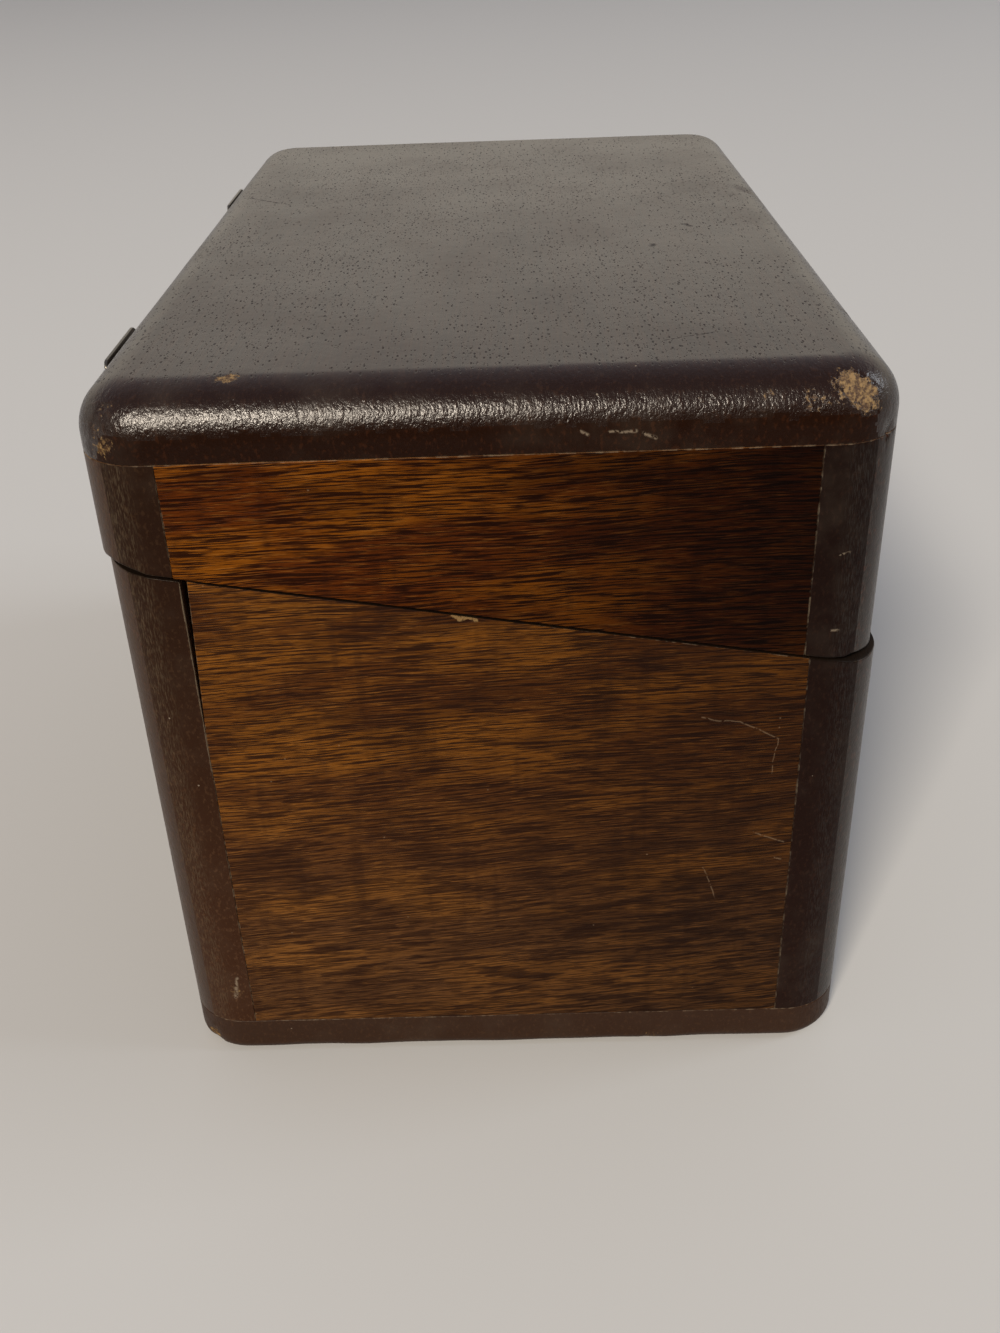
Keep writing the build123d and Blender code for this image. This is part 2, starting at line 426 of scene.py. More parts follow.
    def mark_ends(self, limit: float = math.inf, unevenness: float = 0.0) -> None:
        """Sets apart the end-grain faces of the outside, where the varnish has sunk in.

        Args:
            limit: Height above which faces keep the varnish.
            unevenness: How much the limit towards the long sides varies.
        """
        middle = self.points[self.quads].mean(axis=1)
        _, normal = self.outline.face(middle)
        ragged = limit + 0.35 * wobble(middle, 1.6, 51)
        turned = 0.8 + unevenness * wobble(middle, 2.4, 52)
        facing = (np.abs(normal[:, 0]) > turned) & (middle[:, 2] < ragged)
        self.sides[facing & (self.sides == Side.OUTSIDE)] = Side.END

    def ripple(self, depth: float, size: float, seed: int) -> None:
        """Leaves the outside slightly uneven, always into the wood.

        Args:
            depth: Deepest hollow.
            size: Typical size of a hollow.
            seed: Choice of the hollows.
        """
        distance, normal = self.outline.face(self.points)
        outer = fade(distance, -6.0, 0.0)
        hollow = depth * np.clip(0.5 + 0.5 * wobble(self.points, size, seed), 0, 1)
        self.points -= normal * (hollow * outer)[:, None]

    def write(self, body: str, materials: Sequence[Material]) -> None:
        """Writes the board as a piece that rides on a body in place of its CAD node.

        Args:
            body: Name of the body.
            materials: Finishes by Side, the last only where the ends are set apart.
        """
        mesh = bpy.data.meshes.new(self.node)
        mesh.from_pydata((self.points * MM).tolist(), [], self.quads.tolist())
        for material in materials:
            mesh.materials.append(material)
        mesh.polygons.foreach_set("material_index", self.sides)
        mesh.polygons.foreach_set("use_smooth", np.ones(len(self.quads), dtype=bool))
        mesh.update()
        mesh.set_sharp_from_angle(angle=self.SHARP_ANGLE)
        for name, values in self.marks.items():
            layer = mesh.attributes.new(name, "FLOAT", "POINT")
            layer.data.foreach_set("value", values.astype(np.float32))
        dress(bpy.data.objects.new(f"{self.node}_wood", mesh), body, self.node)


# ---------------------------------------------------------------- shader building


@dataclass(frozen=True)
class Value:
    """A number, vector or colour that a node gives. Sums on a number add nodes.

    Attributes:
        sheet: The sheet with the node.
        socket: The socket that gives it.
    """

    sheet: "Sheet"
    socket: bpy.types.NodeSocket

    def __add__(self, other: object) -> "Value":
        """Adds a number."""
        return self.sheet.math("ADD", self, other)

    def __sub__(self, other: object) -> "Value":
        """Takes a number away."""
        return self.sheet.math("SUBTRACT", self, other)

    def __rsub__(self, other: object) -> "Value":
        """Is taken away from a number."""
        return self.sheet.math("SUBTRACT", other, self)

    def __mul__(self, other: object) -> "Value":
        """Is multiplied by a number."""
        return self.sheet.math("MULTIPLY", self, other)

    __radd__ = __add__


class Sheet:
    """The nodes of a material, a world or a group."""

    def __init__(self, tree: Tree) -> None:
        """Starts on a tree of nodes."""
        self.tree = tree

    def node(
        self, kind: str, inputs: dict | Sequence = (), **settings: object
    ) -> bpy.types.Node:
        """Adds a node.

        Args:
            kind: Type of the node, without its ShaderNode prefix.
            inputs: What its sockets get, in their order or by name or number.
            **settings: Properties to set on it.

        Returns:
            The node.
        """
        made = self.tree.nodes.new(f"ShaderNode{kind}")
        for name, value in settings.items():
            setattr(made, name, value)
        for key, value in inputs.items() if isinstance(inputs, dict) else enumerate(inputs):
            self.feed(made.inputs[key], value)
        return made

    def feed(self, socket: bpy.types.NodeSocket, value: object) -> None:
        """Links a socket to a value of this sheet, or sets it.

        Args:
            socket: The socket.
            value: A Value, or what the socket takes.
        """
        if isinstance(value, Value):
            self.tree.links.new(value.socket, socket)
        else:
            socket.default_value = value

    def take(self, node: bpy.types.Node, output: int | str = 0) -> Value:
        """Takes what a node gives."""
        return Value(self, node.outputs[output])

    def math(self, operation: str, *values: object, clamp: bool = False) -> Value:
        """Does a sum on numbers, kept between 0 and 1 if asked."""
        return self.take(self.node("Math", values, operation=operation, use_clamp=clamp))

    def vector(self, operation: str, *values: object) -> Value:
        """Does a sum on vectors that gives a vector."""
        return self.take(self.node("VectorMath", values, operation=operation))

    def measure(self, operation: str, *values: object) -> Value:
        """Does a sum on vectors that gives a number."""
        return self.take(self.node("VectorMath", values, operation=operation), "Value")

    def scale(self, value: Value, factor: object) -> Value:
        """Scales a vector or a colour."""
        inputs = {0: value, "Scale": factor}
        return self.take(self.node("VectorMath", inputs, operation="SCALE"))

    def combine(self, *parts: object) -> Value:
        """Makes a vector from three numbers."""
        return self.take(self.node("CombineXYZ", parts))

    def split(self, value: Value) -> list[Value]:
        """Takes a vector apart."""
        made = self.node("SeparateXYZ", (value,))
        return [self.take(made, axis) for axis in range(3)]

    def noise(
        self, place: Value, scale: float = 1.0, detail: float = 2.0, roughness: float = 0.5
    ) -> Value:
        """Adds fractal noise around 0.5.

        Args:
            place: Where to look.
            scale: Bumps per unit.
            detail: Octaves.
            roughness: Strength of the finer octaves.

        Returns:
            The noise.
        """
        inputs = {"Vector": place, "Scale": scale, "Detail": detail, "Roughness": roughness}
        return self.take(self.node("TexNoise", inputs))

    def cells(self, place: Value, scale: float = 1.0) -> tuple[Value, list[Value]]:
        """Scatters points.

        Args:
            place: Where to look.
            scale: Points per unit.

        Returns:
            The distance to the nearest point, and that point's three random numbers.
        """
        inputs = {"Vector": place, "Scale": scale}
        made = self.node("TexVoronoi", inputs, feature="F1", voronoi_dimensions="3D")
        return self.take(made, "Distance"), self.split(self.take(made, "Color"))

    def step(
        self, value: Value, low: object, high: object, start: object = 0.0, end: object = 1.0
    ) -> Value:
        """Goes smoothly from start, where the value is low, to end, where it is high."""
        inputs = (value, low, high, start, end)
        return self.take(self.node("MapRange", inputs, interpolation_type="SMOOTHSTEP"))

    def mix(self, share: object, first: object, second: object, blend: str = "MIX") -> Value:
        """Mixes a share of the second colour into the first."""
        inputs = {0: share, 6: first, 7: second}
        return self.take(self.node("Mix", inputs, data_type="RGBA", blend_type=blend), 2)

    def most(self, *values: object) -> object:
        """Gives the largest of some numbers, none of them below 0.

        Args:
            *values: The numbers.

        Returns:
            The largest, or 0 if there are none.
        """
        largest: object = 0.0
        for value in values:
            largest = self.math("MAXIMUM", largest, value)
        return largest

    def apply(self, group: Tree, *values: object) -> list[Value]:
        """Places a group.

        Args:
            group: The group.
            *values: Its inputs, in their order.

        Returns:
            Its outputs, in their order.
        """
        made = self.node("Group", values, node_tree=group)
        return [Value(self, socket) for socket in made.outputs]


class Effect(Sheet):
    """A shader group over a position, with named inputs and with numbers as outputs."""

    def __init__(self, name: str, outputs: Sequence[str] = ("Mask",), **inputs: object) -> None:
        """Makes the group.

        Args:
            name: Name of the group.
            outputs: Names of its outputs.
            **inputs: Defaults of its inputs after Position: a number, or a tuple for a vector.
        """
        super().__init__(bpy.data.node_groups.new(name, "ShaderNodeTree"))
        sockets = [("INPUT", *item) for item in {"Position": (0.0, 0.0, 0.0), **inputs}.items()]
        for way, label, default in (*sockets, *(("OUTPUT", label, 0.0) for label in outputs)):
            kind = "NodeSocketVector" if isinstance(default, tuple) else "NodeSocketFloat"
            socket = self.tree.interface.new_socket(label, in_out=way, socket_type=kind)
            socket.default_value = default
        source = self.tree.nodes.new("NodeGroupInput")
        self.inside = [self.take(source, number) for number in range(len(sockets))]
        self.result = self.tree.nodes.new("NodeGroupOutput").inputs

    def finish(self, *values: Value) -> Tree:
        """Links the outputs, in their order.

        Args:
            *values: What they give.

        Returns:
            The finished group.
        """
        for socket, value in zip(self.result, values):
            self.feed(socket, value)
        return self.tree


def streak_effect() -> Tree:
    """Makes the group for dark or light dashes along the grain.

    Returns:
        The group.
    """
    sheet = Effect("grain_streaks", Length=8.0, Width=0.6, Low=0.5, High=0.65, Seed=0.0)
    position, length, width, low, high, seed = sheet.inside
    scaled = sheet.vector("DIVIDE", position, sheet.combine(length, width, width))
    moved = sheet.vector("ADD", scaled, sheet.combine(seed, seed, seed))
    return sheet.finish(sheet.step(sheet.noise(moved, 1.0, 2.0, 0.55), low, high))


def pore_effect() -> Tree:
    """Makes the group for open pores: short grooves on the flat, dots on end grain.

    Returns:
        The group.
    """
    sheet = Effect("open_pores", Length=3.0, Spacing=1.1, Size=0.2, Density=0.5)
    position, length, spacing, size, density = sheet.inside
    scaled = sheet.vector("DIVIDE", position, sheet.combine(length, spacing, spacing))
    distance, chances = sheet.cells(scaled)
    kept = sheet.math("LESS_THAN", chances[0], density)
    return sheet.finish(sheet.step(distance, size * 0.2, size, 1.0, 0.0) * kept)


def wear_effect() -> Tree:
    """Makes the group for rubbed edges, bare knocks and the light line at a glue joint.

    Returns:
        The group.
    """
    outputs = "Rubbed", "Chipped", "Hairline"
    sheet = Effect("edge_wear", outputs, Edge=0.0, Joint=0.0, Bare=0.0, Amount=0.5)
    position, edge, joint, bare, amount = sheet.inside
    fine = sheet.noise(position, 1.6, 3.0, 0.65)
    ragged = sheet.noise(position, 0.16, 3.0, 0.6) * 0.9 + fine * 0.6
    rubbed = sheet.step(edge * (ragged + amount), 0.75, 1.15)
    chipped = sheet.step(bare + (fine - 0.5) * 1.9, 0.34, 0.66) * sheet.step(bare, 0.02, 0.2)
    opened = sheet.math("MAXIMUM", joint - 1.0, 0.0)
    broken = sheet.step(sheet.noise(position, 0.8) + opened, 0.44, 0.6)
    return sheet.finish(rubbed, chipped, sheet.step(joint * (ragged + 0.1), 0.55, 0.9) * broken)


def dust_effect() -> Tree:
    """Makes the group for pale specks and a thin film of dust.

    Returns:
        The group.
    """
    sheet = Effect("dust", Specks=0.5, Film=0.3)
    position, specks, film = sheet.inside
    distance, chances = sheet.cells(position, 0.42)
    kept = sheet.math("LESS_THAN", chances[1], specks * 0.25)
    speck = sheet.step(distance, 0.03, 0.07, 1.0, 0.0) * kept
    spread = sheet.step(sheet.noise(position, 0.09, 4.0, 0.65), 0.45, 0.75) * film
    return sheet.finish(sheet.math("MAXIMUM", speck, spread))


def scratch_effect() -> Tree:
    """Makes the group for one hairline scratch between two points.

    Returns:
        The group.
    """
    sheet = Effect("hairline_scratch", Start=(0.0, 0.0, 0.0), End=(1.0, 0.0, 0.0), Width=0.12)
    position, start, end, width = sheet.inside
    bend = sheet.noise(position, 0.35, 1.0) - 0.5
    bent = sheet.vector("ADD", position, sheet.combine(0.0, bend, bend))
    along = sheet.vector("SUBTRACT", end, start)
    offset = sheet.vector("SUBTRACT", bent, start)
    squares = (sheet.measure("DOT_PRODUCT", vector, along) for vector in (offset, along))
    share = sheet.math("DIVIDE", *squares, clamp=True)
    distance = sheet.measure("DISTANCE", offset, sheet.scale(along, share))
    broken = sheet.step(sheet.noise(position, 1.9, 1.0), 0.38, 0.52)
    return sheet.finish(sheet.step(distance, 0.0, width, 1.0, 0.0) * broken)


@dataclass(frozen=True)
class Effects:
    """The shader groups that the materials share."""

    streaks: Tree
    pores: Tree
    wear: Tree
    dust: Tree
    scratch: Tree

    @classmethod
    def build(cls) -> "Effects":
        """Builds every group once."""
        return cls(streak_effect(), pore_effect(), wear_effect(), dust_effect(), scratch_effect())


class Paint(Sheet):
    """The nodes of a material round its Principled BSDF."""

    def __init__(
        self, name: str, inputs: dict[str, object], effects: Effects | None = None
    ) -> None:
        """Starts the material.

        Args:
            name: Its name.
            inputs: Uniform values of its shader, by the names of the sockets.
            effects: The shared shader groups, where it uses them.
        """
        self.material = bpy.data.materials.new(name)
        self.material.use_nodes = True
        self.material.node_tree.nodes.clear()
        super().__init__(self.material.node_tree)
        self.effects = effects
        self.shader = self.node("BsdfPrincipled", inputs)
        self.node("OutputMaterial", {"Surface": self.take(self.shader)})

    def place(self) -> Value:
        """Finds the place in the box's own axes, in millimetres."""
        return self.scale(self.take(self.node("TexCoord"), "Object"), 1 / MM)

    def mark(self, name: str) -> Value:
        """Reads one of the marks on a piece's points."""
        made = self.node("Attribute", attribute_type="GEOMETRY", attribute_name=name)
        return self.take(made, "Fac")

    def dashes(self, place: Value, *sizes: float) -> Value:
        """Draws dashes along the first axis, from length, width, low, high and seed."""
        return self.apply(self.effects.streaks, place, *sizes)[0]

    def worn(self, place: Value, amount: float) -> list[Value]:
        """Gives the masks of rubbed edges, bare knocks and hairlines, from a board's marks."""
        marks = (self.mark(name) for name in ("edge", "joint", "bare"))
        return self.apply(self.effects.wear, place, *marks, amount)

    def layer(self, colour: object, *coats: tuple[Value, float, object]) -> Value:
        """Lays coats of colour over a colour.

        Args:
            colour: The colour below.
            *coats: For each coat its mask, its strength and its colour.

        Returns:
            The colour on top.
        """
        for mask, strength, coat in coats:
            colour = self.mix(mask * strength, colour, coat)
        return colour

    def surface(self, colour: Value, roughness: Value, *relief: tuple[object, float]) -> None:
        """Gives the shader its colour, its roughness and its relief.

        Args:
            colour: The colour.
            roughness: The roughness.
            *relief: For each part of the relief its mask and its height in millimetres.
        """
        height = sum(mask * rise for mask, rise in relief)
        bump = self.node("Bump", {"Strength": 1.0, "Distance": MM, "Height": height})
        values = {"Base Color": colour, "Roughness": roughness, "Normal": self.take(bump)}
        for name, value in values.items():
            self.feed(self.shader.inputs[name], value)


# ---------------------------------------------------------------- finishes


RAW_WOOD = linear(150, 122, 80)
PALE_LINE = linear(168, 152, 128)
PALE_SCRATCH = linear(142, 128, 110)
PALE_MARK = linear(170, 146, 118)
BROWN_DUST = linear(150, 138, 122)
DARK_PORE = linear(12, 8, 6)
# Dark coat at the sawn edges: stain soaked in, and painted shade of the gap between lid and base.
STAIN_AND_GAP_SHADE = linear(12, 7, 4)
RUST = linear(70, 40, 24)


@dataclass(frozen=True)
class Scratch:
    """A hairline scratch on a flat face of the box.

    Attributes:
        start: One end. An axis that both ends give as 0 is the one that the face looks along,
            and where that is X the scratch is on the left end.
        end: The other end.
        width: Width of the line.
        tone: Its colour on stained wood.
    """

    start: Place
    end: Place
    width: float
    tone: Colour = linear(10, 7, 6)

    def mask(self, sheet: Paint, place: Value) -> Value:
        """Draws the scratch.

        Args:
            sheet: Sheet of the material.
            place: Place on the box.

        Returns:
            The mask of the scratch.
        """
        used = tuple(float(bool(a or b)) for a, b in zip(self.start, self.end))
        flat = sheet.vector("MULTIPLY", place, used)
        drawn, = sheet.apply(sheet.effects.scratch, flat, self.start, self.end, self.width)
        if used[0]:
            return drawn
        return drawn * sheet.math("LESS_THAN", sheet.split(place)[0], 0.0)


def end_scratches(*lines: tuple) -> tuple[Scratch, ...]:
    """Lists pale scratches on the left end, from their two ends in Y and Z and their widths."""
    return tuple(
        Scratch((0.0, *start), (0.0, *end), width, PALE_SCRATCH) for start, end, width in lines
    )


@dataclass(frozen=True)
class Finish:
    """What the finishes have in common.

    Attributes:
        name: Name of the material.
        gloss: Specular level.
    """

    name: str
    gloss: float

    def material(self, effects: Effects) -> Material:
        """Builds the material.

        Args:
            effects: The shared shader groups.

        Returns:
            The material.
        """
        sheet = Paint(self.name, {"Specular IOR Level": self.gloss}, effects)
        self.paint(sheet, sheet.place())
        return sheet.material

    def paint(self, sheet: Paint, place: Value) -> None:
        """Lays out the finish.

        Args:
            sheet: Sheet of the material.
            place: Place on the box.
        """
        raise NotImplementedError

    def seeped(self, sheet: Paint, start: float, strength: float) -> tuple[Value, float, Colour]:
        """Gives the dark coat at the sawn edges, from a closeness on: stain soaked in, and painted
        shade of the gap between lid and base.
        """
        return sheet.step(sheet.mark("edge"), start, start + 0.45), strength, STAIN_AND_GAP_SHADE


@dataclass(frozen=True)
class StainedWood(Finish):
    """Nearly black stain under a semi-gloss varnish, with open pores. Its grain runs along X.

    Attributes:
        dark: Colour of the stain.
        light: Colour of the paler fibres.
        end_dark: Colour of stained end grain.
        roughness: Roughness of the varnish.
        pore_density: Share of the pores that are open.
        speckle: Height of the grain felt through the varnish on end grain.
        wear: How much the edges are rubbed.
        dust: How much dust lies in the finish.
        scuff: How strongly the upright corner rounds get grey streaks of scuffing and painted
            sheen.
        scuff_tone: Colour of those streaks.
        seep: How dark the sawn edges get, from stain soaked in there and painted shade of the gap
            between lid and base.
        seep_start: Closeness to an edge at which it starts, from 0 to 1.
        fall: How much paler it gets from the lid down to the floor, as painted light from the pale
            floor.
        scratches: The scratches on it.
    """

    dark: Colour
    light: Colour
    end_dark: Colour
    roughness: float = 0.25
    pore_density: float = 0.85
    speckle: float = 0.03
    wear: float = 0.4
    dust: float = 0.3
    scuff: float = 0.0
    scuff_tone: Colour = linear(92, 94, 92)
    seep: float = 0.6
    seep_start: float = 0.6
    fall: float = 0.0
    scratches: tuple[Scratch, ...] = ()

    def paint(self, sheet: Paint, place: Value) -> None:
        """Lays out the finish.

        Args:
            sheet: Sheet of the material.
            place: Place on the box.
        """
        x, y, z = sheet.split(place)
        facing = sheet.split(sheet.take(sheet.node("TexCoord"), "Normal"))
        end_grain = sheet.step(sheet.math("ABSOLUTE", facing[0]), 0.1, 0.5)

        bands = sheet.dashes(place, 60.0, 3.2, 0.35, 0.68, 3.0)
        fibres = sheet.dashes(place, 7.0, 0.32, 0.42, 0.66, 9.0)
        end_place = sheet.vector("MULTIPLY", place, (1.2, 1.9, 1.3))
        end_noise = sheet.noise(end_place, 1.0, 3.0, 0.62)
        colour = sheet.layer(
            self.dark,
            (fibres, 0.7, self.light), (bands, 0.35, self.light), (end_grain, 1.0, self.end_dark),
            (sheet.step(end_noise, 0.52, 0.68) * end_grain, 0.6, self.light),
        )
        # Painted light from the floor: paler low down and darker up at the lid.
        colour = sheet.scale(colour, sheet.step(z, 5.0, 95.0, 1 + 1.6 * self.fall, 1 - self.fall))

        density = sheet.step(sheet.noise(place, 0.028), 0.34, 0.58, 0.35, 1.0) * self.pore_density
        large, small = (
            sheet.apply(sheet.effects.pores, place, length, spacing, 0.3, density)[0]
            for length, spacing in ((1.7, 0.72), (0.9, 0.46))
        )
        pores = sheet.math("MAXIMUM", large, small * 0.8) * (1.0 - end_grain)

        # Grey streaks on the upright corner rounds: scuffing, and painted sheen of light reflected
        # there.
        corner = sheet.math("ABSOLUTE", facing[0] * facing[1])
        rubs = sheet.dashes(sheet.combine(z, x, y), 1.1, 0.14, 0.46, 0.66, 71.0)
        scuffs = rubs * sheet.step(corner, 0.08, 0.36)
        rubbed, chipped, hairline = sheet.worn(place, self.wear)
        mottle = sheet.step(sheet.noise(place, 2.0, 3.0, 0.6), 0.38, 0.62)
        dust, = sheet.apply(sheet.effects.dust, place, self.dust, self.dust * 0.2)
        drawn = [(line.mask(sheet, place), 0.6, line.tone) for line in self.scratches]
        lines = sheet.most(*(mask for mask, _, _ in drawn))
        colour = sheet.layer(
            colour,
            (pores, 0.62, DARK_PORE), (scuffs, self.scuff, self.scuff_tone),
            (rubbed, 0.4, RAW_WOOD), (hairline, 0.24, PALE_LINE),
            (chipped, 0.84, sheet.mix(mottle, linear(74, 51, 32), RAW_WOOD)),
            (dust, 0.6, BROWN_DUST), *drawn, self.seeped(sheet, self.seep_start, self.seep),
        )

        smudge = sheet.noise(place, 0.045, 4.0, 0.6)
        rough = sheet.step(smudge, 0.3, 0.7, self.roughness - 0.02, self.roughness + 0.04)
        for mask, share in (
            (pores, 0.3), (chipped, 0.4), (rubbed, 0.12), (dust, 0.3), (scuffs, 0.2), (lines, 0.3)
        ):
            rough = rough + mask * share
        sheet.surface(
            colour, sheet.math("MINIMUM", rough, 0.9),
            (sheet.noise(place, 0.55), 0.03), (pores, -0.07), (fibres, -0.006),
            (end_noise * end_grain, self.speckle),
            (chipped, -0.05), (mottle * chipped, 0.07), (lines, -0.05),
        )


@dataclass(frozen=True)
class FiguredWood(Finish):
    """Amber wood with short dark dashes and darker clouds. Its grain runs along Y.

    Attributes:
        amber: Colour of the bright fibres.
        brown: Colour of the browner parts.
        dash: Colour of the dashes.
        roughness: Roughness of the finish.
        shade: How dark it goes towards the front, as painted shade standing in for light and sheen
            that die away there.
        contrast: Strength of the fine dashes.
        wear: How much the edges are rubbed.
        seep: How dark the sawn edges get, from stain soaked in there and painted shade of the gap
            between lid and base.
        seep_start: Closeness to an edge at which it starts, from 0 to 1.
        scratches: The scratches on its near end.
    """

    amber: Colour
    brown: Colour
    dash: Colour
    roughness: float = 0.42
    shade: float = 0.45
    contrast: float = 0.5
    wear: float = 0.0
    seep: float = 0.35
    seep_start: float = 0.75
    scratches: tuple[Scratch, ...] = ()

    def paint(self, sheet: Paint, place: Value) -> None:
        """Lays out the finish.

        Args:
            sheet: Sheet of the material.
            place: Place on the box.
        """
        x, deep, high = sheet.split(place)
        along = sheet.combine(deep, high, x)
        drift = sheet.noise(along, 0.022) - 0.5
        sway = drift * 3.2 + deep * sheet.step(high, 20.0, 75.0, 0.1, 0.035)
        flow = sheet.vector("ADD", along, sheet.combine(0.0, sway, 0.0))
        low_down = sheet.step(high, 12.0, 62.0, 1.0, 0.0)

        patches, fine, short, coarse, smudges, fibres, glints = (
            sheet.dashes(flow, *sizes)
            for sizes in (
                (24.0, 7.5, 0.4, 0.62, 5.0), (7.0, 0.23, 0.5, 0.57, 21.0),
                (3.0, 0.17, 0.53, 0.6, 26.0), (6.4, 0.82, 0.53, 0.61, 34.0),
                (13.0, 5.0, 0.5, 0.66, 47.0), (5.0, 0.16, 0.4, 0.7, 58.0),
                (3.4, 0.2, 0.54, 0.64, 83.0),
            )
        )
        figure = sheet.noise(sheet.vector("MULTIPLY", along, (0.42, 0.045, 0.1)))
        fine_share = fine * sheet.step(low_down, 0.0, 1.0, self.contrast, self.contrast * 0.7)
        coarse_share = coarse * sheet.step(low_down, 0.0, 1.0, 0.1, 0.72)
        # The pale grey-brown coat on low_down is a painted reflection of the pale floor.
        colour = sheet.layer(
            sheet.mix(patches, self.brown, self.amber),
            (glints, 0.3, linear(156, 104, 44)), (low_down, 0.24, linear(110, 86, 58)),
            (fibres, 0.46, self.dash), (sheet.step(figure, 0.55, 0.72), 0.25, self.dash),
            (fine_share, 1.0, self.dash), (short, self.contrast * 0.7, self.dash),
            (coarse_share, 1.0, self.dash), (smudges, 0.34, self.dash),
        )

        rubbed, chipped, hairline = sheet.worn(place, self.wear)
        specks, = sheet.apply(sheet.effects.dust, place, 0.45, 0.0)
        marks = sheet.most(specks, *(line.mask(sheet, place) for line in self.scratches))
        # Painted shade: the colour is multiplied darker towards the front of the box.
        shaded = sheet.step(deep, -42.0, 32.0, 1.0, 0.0) * self.shade
        colour = sheet.layer(
            sheet.mix(shaded, colour, linear(66, 42, 30), "MULTIPLY"),
            (rubbed, 0.35, RAW_WOOD), (hairline, 0.26, PALE_LINE), (chipped, 0.62, RAW_WOOD),
            (marks, 0.21, PALE_MARK), self.seeped(sheet, self.seep_start, self.seep),
        )

        smudge = sheet.noise(place, 0.06, 3.0, 0.6)
        rough = sheet.step(smudge, 0.3, 0.7, self.roughness - 0.06, self.roughness + 0.08)
        sheet.surface(
            colour, rough + fine * 0.06,
            (sheet.noise(place, 0.5), 0.02), (fine, -0.012), (coarse, -0.008), (fibres, -0.004),
        )


@dataclass(frozen=True)
class PlatedSteel(Finish):
    """Thin worn plating on steel, gone dull and brown in places.

    Attributes:
        bright: Colour of clean metal.
        dull: Colour of tarnish.
        roughness: Roughness of clean metal.
        tarnish: How far the tarnish has spread.
    """

    bright: Colour
    dull: Colour
    roughness: float
    tarnish: float

    def paint(self, sheet: Paint, place: Value) -> None:
        """Lays out the finish.

        Args:
            sheet: Sheet of the material.
            place: Place on the box.
        """
        cloud = sheet.noise(place, 0.35, 5.0, 0.65)
        brushed = sheet.dashes(place, 9.0, 0.09, 0.35, 0.7, 2.0)
        rubbed = sheet.apply(sheet.effects.wear, place, sheet.mark("edge"), 0.0, 0.0, 0.6)[0]
        spread = sheet.step(cloud, 0.62 - 0.3 * self.tarnish, 0.75 - 0.15 * self.tarnish)
        tarnished = spread * (1.0 - rubbed)
        rust = sheet.step(sheet.noise(place, 1.3, 4.0, 0.7), 0.62, 0.72)
        colour = sheet.mix(tarnished, self.bright, self.dull)
        sheet.feed(sheet.shader.inputs["Metallic"], 1.0 - rust * 0.8)
        sheet.surface(
            sheet.layer(colour, (rust, 0.6, RUST)),
            self.roughness + tarnished * 0.22 + rust * 0.25,
            (brushed, 0.003), (cloud, 0.02), (rust, 0.01),
        )


